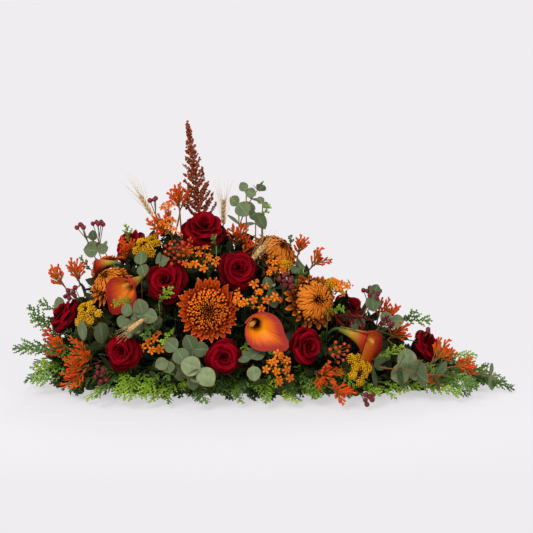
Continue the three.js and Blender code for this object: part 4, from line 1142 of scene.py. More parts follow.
def mum_petals(size, form, count, rows, columns, seed):
    """The petals' grid: each leaves the cup, rises and ends at its ring with a hooked tip."""
    rng = np.random.default_rng(seed)
    q = np.sqrt((np.arange(count) + 0.5) / count)
    shape = (count, 1, 1)

    def table(key):
        return np.interp(q, MUM_SHARES, form[key]).reshape(shape)

    ring = size * table("ring") * rng.uniform(0.94, 1.05, shape)
    rise = size * (table("rise") + rng.uniform(-0.014, 0.014, shape))
    hook = size * table("hook") * rng.uniform(0.8, 1.25, shape)
    bulge = table("bulge") * rise
    half = size * table("width") / 2 * rng.uniform(0.88, 1.1, shape)
    foot = ring * table("foot")
    blunt = table("round")
    s, w = shares(rows, columns)
    belly = ring + np.maximum(hook, 0) * 1.2
    out = (1 - s) ** 2 * foot + 2 * s * (1 - s) * belly + s ** 2 * ring - hook * smooth((s - 0.7) / 0.3) * 1.4
    up = 2 * s * (1 - s) * bulge + s ** 2 * rise
    slope_out, slope_up = np.gradient(out, axis=1), np.gradient(up, axis=1)
    long = np.sqrt(slope_out ** 2 + slope_up ** 2) + 1e-9
    pointed = np.clip(1 - smooth((s - 0.4) / 0.6) ** (1.1 + blunt * 4), 0, 1) ** (1 - 0.6 * blunt)
    width = half * (0.4 + 0.6 * smooth(s / 0.6)) * pointed
    cup = 0.7 * width * w ** 2
    out = out - slope_up / long * cup
    up = up + slope_out / long * cup
    order = np.arange(count).reshape(shape)
    side = w * width + size * 0.01 * np.sin(q.reshape(shape) * 40 + order) * s ** 2
    turn = order * GOLDEN + rng.uniform(-0.07, 0.07, shape)
    return spun(turn, out, side, up)


def mum(name, colour, form, centre, size, bearing, height):
    piece = Piece(name + "_bloom", colour, "stem", "mum_heart")
    facing = heading(bearing, height)
    foot = np.array(centre) - 0.12 * size * facing
    seed = len(name) * 5 + int(size)
    rows, share = MUM_GRID_HIDDEN if "back" in name else MUM_GRID
    count = int(MUM_FORMS[form]["count"] * share)
    petals = mum_petals(size, MUM_FORMS[form], count, rows, 3, seed)
    rng = np.random.default_rng(seed)
    blades(piece, place(foot, facing, petals), THICK["mum"], 0, rng.uniform(0, 1, len(petals)))
    lathes(piece, foot[None], facing, MUM_CUP, size, 14, 1)
    lathes(piece, foot[None], facing, MUM_HEART, size, 18, 2)
    stem(piece, name, foot + 4 * frames(facing)[0] - 2 * facing, -facing, STEM["mum"], 1)
    piece.build(colour + "_petals", name)


# Calla lilies

# Rows and columns of the spathe, and how far it goes round as a share of the full turn
CALLA_GRID = (22, 46)
CALLA_WRAP = 1.1

# The spadix: its radii for a bloom 70 mm wide, and the number of its knobs
SPADIX_BLOOM = 70
SPADIX_RADII = (2.6, 3, 3.2, 3.3, 3.3, 3.2, 3, 2.7, 2.2, 1.2)
SPADIX_KNOBS = 110


def calla_spathe(size, length, tip_at):
    """One sheet rolled into a trumpet, its edges passing each other opposite the tip."""
    s, w = shares(*CALLA_GRID)
    turn = w * math.pi * CALLA_WRAP
    tip = np.clip(np.cos(turn), 0, 1)
    lip = 0.46 + 0.04 * np.cos(turn) + 0.24 * tip ** 14
    out = size * (0.05 + 0.13 * s + (lip - 0.18) * s ** 3.4)
    out = out + size * 0.035 * w ** 3 * (0.3 + 0.7 * s)
    roll = smooth((s - 0.8) / 0.2)
    back = 0.02 + 0.1 * tip ** 8 + 0.07 * np.abs(w) ** 2
    up = -0.85 * length * (1 - s) ** 1.3 - size * back * roll - size * 0.08 * np.abs(w) ** 6 * s ** 3
    up = up + size * 0.016 * np.sin(turn * 3 + 1) * s ** 4
    toward = math.radians(tip_at)
    grid = spun(turn + toward, out, 0, up)
    grid[..., :2] += size * 0.26 * s[..., None] ** 3 * (math.cos(toward), math.sin(toward))
    return grid


def calla(name, mouth, size, length, bearing, height, tip_at):
    look = "calla" if name == "calla_front" else "calla_red"
    piece = Piece(name + "_bloom", look, "spadix", "stem")
    facing = heading(bearing, height)
    spathe = place(mouth, facing, calla_spathe(size, length, tip_at))
    blades(piece, spathe, THICK["calla"], 0, 0.5, taper=False)
    inner = np.array(mouth) - facing * length * 0.62
    outer = np.array(mouth) + facing * length * 0.02 - frames(facing)[0] * size * 0.05
    radii = np.array(SPADIX_RADII) * size / SPADIX_BLOOM
    rod(piece, inner, outer, 0, len(radii), radii, 9, 1)
    k = np.arange(SPADIX_KNOBS)
    share = (k + 0.5) / SPADIX_KNOBS
    outward = around(k * GOLDEN, *frames(outer - inner)[:2])
    knobs = inner + (outer - inner) * share[:, None] + outward * (3.2 * size / SPADIX_BLOOM)
    lathes(piece, knobs, outward, BEAD, 0.9 * size / SPADIX_BLOOM, 5, 1, share)
    root = np.array(mouth) + frames(facing)[0] - 0.85 * length * facing
    stem(piece, name, root, -facing, STEM["calla"], 2)
    piece.build("calla_spathe", name)


# Scaly greens

# Side twigs and the lobes on them, in millimetres and degrees
TWIG_GAP = 15
TWIG_ANGLE = 40
TWIG_WIDTH = 3.8
LOBE_GAP = 6.4
LOBE_FROM = 3
LOBE_ANGLE = 34
LOBE_LENGTHS = (3.2, 5.6)
LOBE_WIDTH = 4.2


def side_lobes(starts, angles, lengths, rng):
    """Lobes that leave both sides of each given twig: their starts, angles and lengths."""
    counts = np.maximum(((lengths - LOBE_FROM) / (LOBE_GAP / 2)).astype(int), 0)
    parent = np.repeat(np.arange(len(lengths)), counts)
    order = np.arange(len(parent)) - np.repeat(np.cumsum(counts) - counts, counts)
    d = LOBE_FROM + (order + rng.uniform(-0.2, 0.2, len(parent))) * (LOBE_GAP / 2)
    hand = np.where(order % 2 == 0, 1, -1)
    way = np.stack([np.cos(angles[parent]), np.sin(angles[parent])], -1)
    start = starts[parent] + way * d[:, None]
    angle = angles[parent] + hand * np.radians(LOBE_ANGLE + rng.uniform(-6, 6, len(parent)))
    least, most = LOBE_LENGTHS
    length = np.clip(0.2 * (lengths[parent] - d) + least, least, most) * rng.uniform(0.82, 1.1, len(parent))
    return start, angle, length


def flat_spray(reach, widest, rng):
    """A flat spray: twigs on both sides of the rib, and blunt lobes on the twigs and the rib.

    Gives two batches of (starts, ends, widths), the twigs and the lobes, in the spray's plane.
    """
    s = np.arange(6, reach - 4, TWIG_GAP / 2)
    s = s + rng.uniform(-1.2, 1.2, len(s))
    hand = np.where(np.arange(len(s)) % 2 == 0, 1, -1)
    angle = hand * np.radians(TWIG_ANGLE + rng.uniform(-6, 6, len(s)) - 8 * s / reach)
    room = np.minimum(np.minimum(0.5 * s + 5, 0.42 * (reach - s) + 2.5), widest)
    out = room * rng.uniform(0.7, 1.1, len(s))
    length = np.minimum(out / np.sin(np.abs(angle)), (reach - s) / np.cos(angle) * 0.96)
    twigs = (np.stack([s, 0 * s], -1), angle, length)
    rib = (np.zeros((1, 2)), np.zeros(1), np.array([reach]))
    carriers = [np.concatenate(pair) for pair in zip(twigs, rib)]
    batches = []
    for batch, width in ((twigs, TWIG_WIDTH), (side_lobes(*carriers, rng), LOBE_WIDTH)):
        starts, angles, lengths = batch
        ends = starts + np.stack([np.cos(angles), np.sin(angles)], -1) * lengths[:, None]
        over = ends[:, 0] > reach + 3
        ends[over] = starts[over] + (ends[over] - starts[over]) * 0.4
        batches.append((starts, ends, width))
    return batches


def spray(piece, start, middle, end, widest, look, tone, rng, facing=(0, 0, 1)):
    """A flat spray along a bent rib; facing is the way its broad face looks."""
    path = bend(start, middle, end, RIB_POINTS)[0]
    reached = np.concatenate([[0], np.cumsum(np.linalg.norm(np.diff(path, axis=0), axis=1))])
    reach = reached[-1]
    tangent = unit(np.gradient(path, axis=0))
    side = unit(np.cross(np.asarray(facing, float) + (0.01, 0.013, 0.02), tangent))
    face = np.cross(tangent, side)

    def lay(flat):
        s, t = flat[:, 0], flat[:, 1:]
        at, across, up = (np.stack([np.interp(s, reached, line[:, i]) for i in range(3)], -1)
                          for line in (path, side, face))
        return np.clip(at + t * across - 0.004 * t ** 2 * up, BOX_LOW, BOX_HIGH)

    for make, (starts, ends, width) in zip((spindles, scales), flat_spray(reach, widest, rng)):
        along = starts[:, 0] / reach * 0.5 + np.abs(ends[:, 1]) / widest * 0.35
        chance = np.clip(tone + rng.uniform(-0.15, 0.15, len(starts)), 0, 1)
        make(piece, lay(starts), lay(ends), face.mean(0), width, look, along, chance)
    thick = np.linspace(1 + reach / 150, 0.7, RIB_POINTS)
    along = np.linspace(0, 0.5, RIB_POINTS)
    tubes(piece, np.clip(path, BOX_LOW, BOX_HIGH)[None], thick, 4, look, tone, along)


def frond(piece, foot, bearing, reach, height, arch_at, rise, widest, look, tone, rng, facing):
    """A spray that leaves its foot on a bearing, arches and ends at the given height."""
    out = heading(bearing, 0)
    end = foot + out * reach
    end[2] = height
    spray(piece, foot, foot + out * reach * arch_at + UP * rise, end, widest, look, tone, rng, facing)


def sprig(piece, foot, way, reach, look, tone, rng, widest=20, droop=0.12, facing=None):
    """A spray that stands out from its foot in any direction and droops a little."""
    foot, way = np.asarray(foot, float), unit(way)
    if facing is None:
        facing = unit(way * (1, 1, 0) * 0.4 + UP * 0.7 + rng.normal(0, 0.35, 3))
    end = foot + way * reach - UP * droop * reach
    spray(piece, foot, foot + way * reach * 0.55, end, widest, look, tone, rng, facing)


def cypress(name, hub, sprays):
    piece = Piece("cypress_" + name + "_greens", "green", "lime", "twig")
    rng = np.random.default_rng(len(name) * 11)
    front = -1 if hub[1] < 40 else 1

    def one(bearing, reach, tip_height, rise, lean, look, widest):
        start = np.array(hub, float) + rng.uniform(-3, 3, 3)
        turn = math.radians(abs(lean))
        facing = np.array([0, front * math.sin(turn), math.cos(turn)]) + rng.normal(0, 0.12, 3)
        tone = rng.uniform(0.1, 0.7)
        frond(piece, start, bearing, reach, tip_height, 0.6, rise, widest, look, tone, rng, facing)

    for index, (bearing, reach, tip_height, rise, lean) in enumerate(sprays):
        look = 1 if (index + len(name)) % 3 == 0 else 0
        one(bearing, reach, tip_height, rise * 0.5, lean, look, 17)
        for aside in (-16, 15):
            height = tip_height + (hub[2] - tip_height) * 0.25 + rng.uniform(-6, 14)
            one(bearing + aside + rng.uniform(-6, 6), reach * rng.uniform(0.5, 0.84), height, rise,
                lean, int(rng.integers(0, 2)), 14)
    node = "cypress_" + name
    root = np.array(hub, float)
    out = heading(np.mean([s[0] for s in sprays]), 0)
    stem(piece, node, root + 4 * out, -out, STEM["cypress"], 2, 14)
    piece.build("cypress_green", node)


# Eucalyptus

def round_leaves(middle, out, across, size, rng):
    """Nearly round leaves [N, 9, 9, 3] around each middle."""
    n = len(middle)
    s, w = shares(9, 9)
    size = column(size, n, 3)
    half = np.sin(np.pi * s ** 0.92) ** 0.62 * (1 - 0.1 * s)
    x = size * (s - 0.5)
    y = size * 0.5 * w * half
    cup = rng.uniform(-0.1, 0.22, (n, 1, 1))
    wave = rng.uniform(0, 6.3, (n, 1, 1))
    z = cup * size * ((s - 0.5) ** 2 * 1.4 + (w * half) ** 2 * 0.4) + 0.12 * size * np.abs(w) * half * 0.4
    z = z + size * 0.025 * np.sin(5 * w + wave) * s * half
    return lay_out(middle, (out, across, np.cross(out, across)), x, y, z)


# How far each pair of leaves turns from the pair below it, and the first pair's turn, in radians
PAIR_TURN = 1.4
FIRST_TURN = 0.6


def eucalyptus(name, points, pairs, size):
    node = "eucalyptus_" + name
    piece = Piece(node + "_branch", "eucalyptus", "twig")
    rng = np.random.default_rng(len(name) * 13 + 3)
    path = through(points, TWIG_POINTS)
    tubes(piece, path[None], np.linspace(STEM["eucalyptus"], 0.8, TWIG_POINTS), 6, 1)
    leaves = []
    for i in range(pairs):
        reached = (i + 1) / (pairs + 0.2)
        k = reached * (TWIG_POINTS - 1)
        low = min(int(k), TWIG_POINTS - 2)
        at = path[low] + (path[low + 1] - path[low]) * (k - low)
        u, v, a = frames(unit(path[low + 1] - path[low]))
        leaf = size * (1 - 0.38 * reached) * rng.uniform(0.92, 1.08)
        for side in (0, math.pi):
            turn = i * PAIR_TURN + side + FIRST_TURN
            out = unit(math.cos(turn) * u + math.sin(turn) * v + 0.45 * a)
            leaves.append((at + out * leaf * 0.5, out, unit(np.cross(a, out)), leaf))
    tangent = unit(path[-1] - path[-2])
    leaves.append((path[-1] + tangent * size * 0.25, tangent, frames(tangent)[0], size * 0.5))
    grid = round_leaves(*(np.array(x) for x in zip(*leaves)), rng)
    blades(piece, grid, THICK["eucalyptus"], 0, rng.uniform(0, 1, len(grid)))
    first = unit(path[1] - path[0])
    stem(piece, node, path[0] + 4 * first, -first, STEM["eucalyptus"], 1, 14)
    piece.build("eucalyptus_leaf", node)


def round_leaf_twigs():
    """One to three round leaves at each place between the flowers, on a twig from the foam."""
    piece = Piece("fill_round_leaves", "eucalyptus", "twig")
    rng = np.random.default_rng(SEEDS["round_leaves"])
    leaves = []
    for knot, bearing, height, tone, pair in LEAF_KNOTS:
        knot = np.array(knot, float)
        rod(piece, foam_near(knot), knot, 10, 8, 1.2, 6, 1)
        for size, angle in pair:
            normal = unit(heading(bearing, height) + rng.normal(0, 0.12, 3))
            right = unit(np.cross(UP, normal))
            turn = math.radians(angle)
            out = math.cos(turn) * right + math.sin(turn) * np.cross(normal, right)
            leaf_tone = tone + rng.uniform(-0.1, 0.05)
            leaves.append((knot + out * size * 0.47, out, np.cross(normal, out), size, leaf_tone))
    *shape, tones = (np.array(x) for x in zip(*leaves))
    blades(piece, round_leaves(*shape, rng), THICK["eucalyptus"], 0, tones)
    piece.build("eucalyptus_leaf")


# Bunches of small things on forked stems

def dice(seed):
    """Numbers from -1 to 1, the same in each run."""
    state = seed
    while True:
        state = (state * 1664525 + 1013904223) % 2 ** 32
        yield state / 2 ** 32 * 2 - 1


def bunch(at, face, spread, stem_length, dome, count, seed):
    """Fork, twig starts and tips of a bunch whose heads lie on a dome."""
    at = np.array(at, float)
    axis = heading(*face)
    fork = at - axis * spread * stem_length
    roll = dice(seed)
    k = np.arange(count)
    r = spread * np.sqrt((k + 0.5) / count)
    angle = k * GOLDEN + seed
    height = dome * (1 - (r / spread) ** 2) + np.array([next(roll) for _ in k]) * spread * 0.12
    tips = place(at, axis, np.stack([np.cos(angle) * r, np.sin(angle) * r, height], -1))
    starts = fork + (at - fork) * (0.75 * (1 - (k + 0.5) / count))[:, None]
    return fork, starts, tips, axis


def grow(piece, node, parts, radius, slot, add_tips):
    """Builds a node's bunches: their stems, one chained from the other, and what the twigs carry."""
    before = None
    for part in parts:
        fork, starts, tips, axis = bunch(*part)
        middle = (starts + tips) / 2 + axis * part[2] * 0.12
        tubes(piece, bend(starts, middle, tips, 7), radius * BRANCH, 5, 1)
        rod(piece, fork, starts[0], 0, 6, radius, 6, 1)
        if before is None:
            stem(piece, node, fork + axis * 3, -axis, radius, 1, 16)
        else:
            rod(piece, before, fork, -6, 8, radius, 6, 1)
        before = fork
        add_tips(starts, tips, axis)
    piece.build(slot, node)


# Fingers on each twig of a flame branch, their radii and those of the buds on them, and how far along
# its colours a bud is
FINGERS = 6
FINGER_RADII = (1, 1.2, 1.5, 1.9, 2.2, 1.9)
BUD_RADII = (1.1, 1.4, 1.9, 1.6)
BUD_ALONG = (0.4, 0.6, 0.85, 1)


def flame(name, parts):
    """Branches whose twigs carry long blunt fingers on both sides."""
    node = "flame_" + name
    piece = Piece(node + "_branch", "flame", "twig")
    rng = np.random.default_rng(len(name) * 3 + 1)
    size = FLAME_SIZE["left" if "left" in name else "other"]

    def combs(starts, tips, axis):
        for start, tip in zip(starts, tips):
            a = unit(tip - start)
            side = unit(np.cross(a, unit(axis * 0.5 + np.array([0.1, -0.8, 0.2])) + rng.normal(0, 0.25, 3)))
            for step in range(FINGERS):
                share = step / (FINGERS - 1)
                foot = tip - a * size * (1.1 - 0.95 * share)
                hand = 1 if step % 2 else -1
                aside = hand * side * rng.uniform(0.5, 0.85) * (1 - 0.6 * share)
                way = unit(a + aside + rng.normal(0, 0.12, 3))
                finger(foot, way, a, size * (0.62 - 0.22 * share) * rng.uniform(0.85, 1.15))

    def finger(foot, way, a, length):
        end = foot + way * length + a * length * 0.2
        path = bend(foot, foot + way * length * 0.6, end, len(FINGER_RADII))
        shade = rng.uniform(0, 1)
        tubes(piece, path, FINGER_RADII, 6, 0, shade)
        if rng.uniform() < 0.7:
            base = path[0][3]
            turned = unit(way * 0.8 + rng.normal(0, 0.45, 3))
            tip = base + turned * rng.uniform(5, 9)
            rod(piece, base, tip, 0, len(BUD_RADII), BUD_RADII, 5, 0, shade, BUD_ALONG)

    grow(piece, node, parts, STEM["flame"], "flame_stems", combs)


def star_petals(centre, facing, size, rng):
    """Five blunt petals around each centre."""
    n = len(centre)
    s, w = (x[None] for x in shares(5, 3))
    turn = (np.arange(5) * 2 * math.pi / 5)[None, :, None, None] + rng.uniform(0, 6.3, (n, 1, 1, 1))
    size = column(size, n, 4)
    out = size * (0.08 + 0.92 * s)
    up = size * (0.4 * s - 0.45 * s ** 2 + 0.1 * w ** 2)
    side = size * 0.27 * w * (0.35 + 0.65 * np.sin(s * 2.2)) * np.sqrt(np.clip(1.1 - s ** 6, 0, 1))
    grid = lay_out(centre, frames(facing), *np.moveaxis(spun(turn, out, side, up), -1, 0))
    return grid.reshape(-1, 5, 3, 3)


def stars(name, parts):
    node = "stars_" + name
    piece = Piece(node + "_bunch", "star", "green_stalk")
    rng = np.random.default_rng(len(name) * 17)

    def flowers(starts, tips, axis):
        ahead = unit(unit(tips - starts) + axis * 0.8 + rng.normal(0, 0.2, tips.shape))
        way = unit(ahead * 0.7 + rng.normal(0, 0.6, tips.shape))
        near = tips - ahead * 9 + way * rng.uniform(13, 19, (len(tips), 1))
        tubes(piece, bend(tips - ahead * 9, (tips + near) / 2, near, 4), 0.6, 4, 1)
        centres = np.concatenate([tips, near])
        facings = np.concatenate([ahead, unit(way + axis * 0.5)])
        ranges = (STAR_SIZE, SMALL_STAR_SIZE)
        sizes = np.concatenate([rng.uniform(least, most, len(tips)) for least, most in ranges])
        grid = star_petals(centres, facings, sizes, rng)
        blades(piece, grid, THICK["star"], 0, np.repeat(rng.uniform(0, 1, len(centres)), 5))
        lathes(piece, centres + facings, facings, BEAD, sizes * 0.2, 6, 1)
        buds = tips - ahead * 6 + rng.normal(0, 8, tips.shape)
        lathes(piece, buds, ahead, BEAD, STAR_BUD_SIZE, 6, 0, rng.uniform(0, 0.5, len(buds)))

    grow(piece, node, parts, STEM["stars"], "star_flowers", flowers)


# Grains in a head of yarrow
YARROW_GRAINS = 34


def yarrow(name, parts):
    node = "yarrow_" + name
    piece = Piece(node + "_bunch", "yarrow", "stalk")
    rng = np.random.default_rng(len(name) * 19)
    k = np.arange(YARROW_GRAINS)
    share = np.sqrt((k + 0.5) / YARROW_GRAINS)
    angle = k * GOLDEN

    def heads(starts, tips, axis):
        for start, tip in zip(starts, tips):
            u, v, a = frames(unit(tip - start) + axis * 0.3)
            size = rng.uniform(*YARROW_SIZE)
            r = size * share
            up = 4 * (1 - (r / size) ** 2) + rng.uniform(-1.1, 1.1, len(k))
            local = np.stack([np.cos(angle) * r, np.sin(angle) * r, up], -1)
            centres = tip + local[:, :1] * u + local[:, 1:2] * v + local[:, 2:] * a
            sizes = rng.uniform(*YARROW_GRAIN_SIZE, len(k))
            lathes(piece, centres, a, BEAD, sizes, 6, 0, rng.uniform(0, 1, len(k)))
            feet = np.repeat((tip - a * 8)[None], 9, 0)
            tubes(piece, bend(feet, feet + a * 3, centres[::4][:9], 3), 0.7, 4, 1)

    grow(piece, node, parts, STEM["yarrow"], "yarrow_heads", heads)


def berries(name, parts, look="berry", size=BERRY_SIZE):
    node = "berries_" + name
    piece = Piece(node + "_bunch", look, "stalk")
    rng = np.random.default_rng(len(name) * 23)

    def fruit(starts, tips, axis):
        facing = unit(tips - starts)
        sizes = size * rng.uniform(0.9, 1.08, len(tips))
        lathes(piece, tips, facing, BALL, sizes, 10, 0, rng.uniform(0, 1, len(tips)))
        lathes(piece, tips + facing * size * 0.95, facing, CALYX, 0.16 * size, 5, 1)

    grow(piece, node, parts, STEM["berries"], "berry_skin", fruit)


# Plumes and wheat

# Beads along a plume's stalk, and grains in an ear
BEADS_ON_STALK = 60
EAR_GRAINS = 22


def plume(node, foot, top, width, branches, look, slot, bead, per_branch):
    """A stalk with beaded branches all round, shorter toward the top."""
    piece = Piece(node + "_plume", look)
    rng = np.random.default_rng(len(node))
    foot, top = np.array(foot, float), np.array(top, float)
    u, v, a = frames(top - foot)
    height = np.linalg.norm(top - foot)
    tubes(piece, bend(foot, (foot + top) / 2 + u * 3, top, 16), np.linspace(STEM["plume"], 0.6, 16), 6)
    k = np.arange(branches)
    t = (k + 0.3) / branches
    reach = (width / 2 + 4) * (1 - t) ** 1.15 * rng.uniform(0.8, 1.12, branches) + 3
    radial = around(k * GOLDEN, u, v)
    at = foot + a * (height * t * 0.96)[:, None]
    end = at + radial * reach[:, None] + a * (reach * 0.95)[:, None]
    paths = bend(at, at + radial * (reach * 0.6)[:, None] + a * (reach * 0.3)[:, None], end, 8)
    tubes(piece, paths, np.linspace(0.8, 0.4, 8), 4)
    for path, length in zip(paths, reach):
        count = int(per_branch * length / 20) + 3
        centre = on_path(path, rng.uniform(0.12, 1, count) * 7) + rng.normal(0, bead * 0.72, (count, 3))
        ways = unit(rng.normal(0, 1, (count, 3)))
        sizes = rng.uniform(0.7, 1.15, count) * bead
        lathes(piece, centre, ways, BEAD, sizes, 5, 0, rng.uniform(0, 1, count))
    spots = rng.uniform(0.55, 1, BEADS_ON_STALK)
    centre = foot + (top - foot) * spots[:, None] + rng.normal(0, 1.6, (BEADS_ON_STALK, 3))
    lathes(piece, centre, a, BEAD, bead * 0.9, 5, 0, rng.uniform(0, 1, BEADS_ON_STALK))
    stem(piece, node, foot + a * 3, -a if top[2] > foot[2] else (-0.6, 0.2, 0.1), STEM["plume"], 0)
    piece.build(slot, node)


def ear(piece, foot, top, rng):
    """Two rows of grains with long bristles."""
    foot, top = np.array(foot, float), np.array(top, float)
    u, v, a = frames(top - foot)
    height = np.linalg.norm(top - foot)
    k = np.arange(EAR_GRAINS)
    side = around(k * math.pi + (k % 4 > 1) * 1.2, u, v)
    centre = foot + a * (height * (k + 0.5) / EAR_GRAINS)[:, None] + side * 2.4
    way = unit(a + side * 0.35)
    lathes(piece, centre, way, GRAIN, WHEAT_GRAIN_SIZE, 6, 0, rng.uniform(0, 1, EAR_GRAINS))
    awn = unit(a + side * 0.32 + rng.normal(0, 0.05, (EAR_GRAINS, 3)))
    tips = centre + awn * height * rng.uniform(0.85, 1.25, (EAR_GRAINS, 1))
    bristles = bend(centre + way * 4, (centre + tips) / 2 + side, tips, 5)
    tubes(piece, bristles, np.linspace(0.36, 0.14, 5), 3, 0, 0.8)
    rod(piece, foot, top, 0, 6, 0.9, 5)


def wheat(name, foot, top):
    node = "wheat_" + name
    piece = Piece(node + "_ear", "straw")
    ear(piece, foot, top, np.random.default_rng(len(name)))
    a = unit(np.array(top, float) - foot)
    stem(piece, node, np.array(foot, float) + a * 3, -a, STEM["wheat"], 0)
    piece.build("straw", node)


# Fill of greens around the foam

# Beads on a hanging rope
ROPE_BEADS = 260

# Centre and radius of each bloom
BLOOMS = [(np.array(r[1]), r[2] * 0.5) for r in ROSES] + [(np.array(m[3]), m[4] * 0.48) for m in MUMS]
BLOOMS = BLOOMS + [(np.array(c[1]), c[2] * 0.5) for c in CALLAS]


def clear_of_blooms(points, room):
    """Whether each point is outside all blooms."""
    clear = np.ones(points.shape[:-1], bool)
    for centre, radius in BLOOMS:
        clear &= np.linalg.norm(points - centre, axis=-1) > radius * room
    return clear


def mound_skin(count, rng, high=0.94, left=-430, right=505):
    """Places on the skin of the mound of greens, and the way out of it at each."""
    x = rng.uniform(left, right, count)
    height = np.interp(x, *zip(*RIDGE))
    reach = np.interp(x, *zip(*REACH_OUT))
    slope = (np.interp(x + 8, *zip(*RIDGE)) - np.interp(x - 8, *zip(*RIDGE))) / 16
    down = rng.uniform(0, high, count)
    side = np.where(rng.uniform(0, 1, count) < FRONT_SHARE, -1, 1)
    spots = np.stack([x, -10 + side * reach * down ** 0.75, height * (1 - down)], -1)
    way = np.stack([-slope * (1 - down), side * 1.33 * height / reach * down ** 0.25, 1 + 0 * x], -1)
    return spots, unit(way)


def foam_near(point):
    """A place just inside the foam, near the given point."""
    x = float(np.clip(point[0], -222, 222))
    y = float(np.clip(point[1] * 0.6, -54, 54))
    top = float(foam_top(x, y))
    return np.array([x, y, np.clip(point[2] * 0.6, 14, top - 8)])


def fill_greens():
    """Sprigs at the skin of the mound, between the flowers, on stalks from the foam."""
    piece = Piece("fill_greens", "deep", "green", "lime", "stalk")
    rng = np.random.default_rng(SEEDS["greens"])
    made = 0
    for target, way in zip(*mound_skin(GREENS["tries"], rng)):
        foot = foam_near(target)
        way = unit(way + unit(target - foot) * 0.7 + rng.normal(0, 0.25, 3))
        reach = rng.uniform(*GREENS["reach"])
        start = target - way * reach
        line = start + np.linspace(0.3, 1.05, 6)[:, None] * reach * way
        if not clear_of_blooms(line, 0.95).all() or start[2] < 10:
            continue
        kind = int(rng.choice(GREENS["looks"]))
        sprig(piece, start, way, reach, kind, rng.uniform(0.1, 0.8), rng, rng.uniform(*GREENS["width"]), 0.1)
        if np.linalg.norm(start - foot) > 12:
            rod(piece, foot, start, 0, 4, 1.1, 4, 3)
        made += 1
        if made == GREENS["most"]:
            break
    piece.build("cypress_green")


def skirt():
    """Sprigs that hang from the foam's sides to the ground, all round."""
    piece = Piece("fill_skirt", "deep", "green", "lime")
    rng = np.random.default_rng(SEEDS["skirt"])
    for side in (-1, 1):
        room = (BOX_HIGH[1] if side > 0 else -BOX_LOW[1]) - 60
        for layer in SKIRT.values():
            for x in np.arange(-216, 250, layer["gap"]):
                at = x + rng.uniform(-12, 12)
                bearing = math.radians(at * 0.14 + rng.uniform(-52, 52))
                out = np.array([math.sin(bearing), side * math.cos(bearing), 0])
                foot = np.array([np.clip(at, -226, 226), side * 56, rng.uniform(*layer["foot"])])
                shape = np.interp(at, *SKIRT_SHAPE)
                low, high = layer["share"]
                share = low + (high - low) * rng.uniform(0, 1) ** layer["power"]
                end = foot + out * room * shape * share / max(math.cos(bearing), 0.8)
                end[2] = rng.uniform(*layer["tip"])
                middle = foot + (end - foot) * 0.64
                middle[2] = rng.uniform(*layer["arch"])
                facing = unit(out * 0.7 + UP * 0.7 + rng.normal(0, 0.2, 3))
                kind = int(rng.choice(layer["looks"]))
                widest = rng.uniform(*layer["width"])
                spray(piece, foot, middle, end, widest, kind, rng.uniform(0.3, 0.95), rng, facing)
    piece.build("cypress_green")


def ends():
    """Sprigs that make the left end and the tail thick."""
    piece = Piece("fill_ends", "deep", "green", "lime")
    rng = np.random.default_rng(SEEDS["ends"])

    def one(foot, bearing, reach, height, rise, facing, widest):
        kind = int(rng.choice(END_LOOKS))
        tone = rng.uniform(0.1, 0.9)
        facing = unit(facing + rng.normal(0, 0.2, 3))
        frond(piece, foot, bearing, reach, height, 0.5, rise, widest, kind, tone, rng, facing)

    for k in range(HEAD_SPRAYS):
        bearing = -34 - 112 * (k + rng.uniform(0, 1)) / HEAD_SPRAYS
        foot = np.array([-224, rng.uniform(-48, 48), rng.uniform(30, 84)])
        reach = 236 * (0.62 + 0.36 * math.sin(math.radians(bearing)) ** 2) * rng.uniform(0.6, 1.0)
        toward = -0.8 if bearing > -100 else 0.6
        height = 5 + 140 * rng.uniform(0, 1) ** 1.6
        rise = rng.uniform(2, 26)
        one(foot, bearing, reach, height, rise, np.array([-0.2, toward, 0.6]), rng.uniform(11, 16))
    for k in range(TAIL_SPRAYS):
        bearing = 62 + 44 * (k + rng.uniform(0, 1)) / TAIL_SPRAYS
        foot = np.array([224, rng.uniform(-46, 46), rng.uniform(24, 64)])
        reach = rng.uniform(150, 300)
        height = rng.uniform(4, 44)
        rise = rng.uniform(0, 22)
        one(foot, bearing, reach, height, rise, np.array([0.1, -0.7, 0.65]), rng.uniform(12, 17))
    for k in range(TAIL_SPRIGS):
        share = (k + rng.uniform(0, 1)) / TAIL_SPRIGS
        foot = np.array([232 + 270 * share, rng.uniform(-62, 40) * (1 - 0.5 * share), 44 - 30 * share])
        side = rng.uniform(-1, 1)
        way = np.array([1.0, -0.9 * max(side, -0.4), 0.75 * (0.6 - abs(side)) + rng.uniform(-0.1, 0.3)])
        reach = rng.uniform(56, 104) * (1 - 0.2 * share)
        facing = unit(np.array([-0.1, -0.8, 0.6]) + rng.normal(0, 0.25, 3))
        kind = int(rng.choice(END_LOOKS))
        sprig(piece, foot, way, reach, kind, rng.uniform(0.1, 0.9), rng, rng.uniform(9, 13), 0.12, facing)
    piece.build("cypress_green")


def light_sprigs():
    """The single sprigs of light green between the flowers."""
    piece = Piece("fill_sprigs", "green", "lime")
    rng = np.random.default_rng(SEEDS["sprigs"])
    for foot, aim, reach, look in SPRIGS:
        facing = unit(np.array([0.1, -0.9, 0.4]) + rng.normal(0, 0.15, 3))
        sprig(piece, foot, heading(*aim), reach, look, rng.uniform(0.4, 0.8), rng, 17, 0.04, facing)
        rod(piece, foam_near(foot), foot, 6, 6, 1.1, 5, 0, 0.3)
    piece.build("cypress_green")


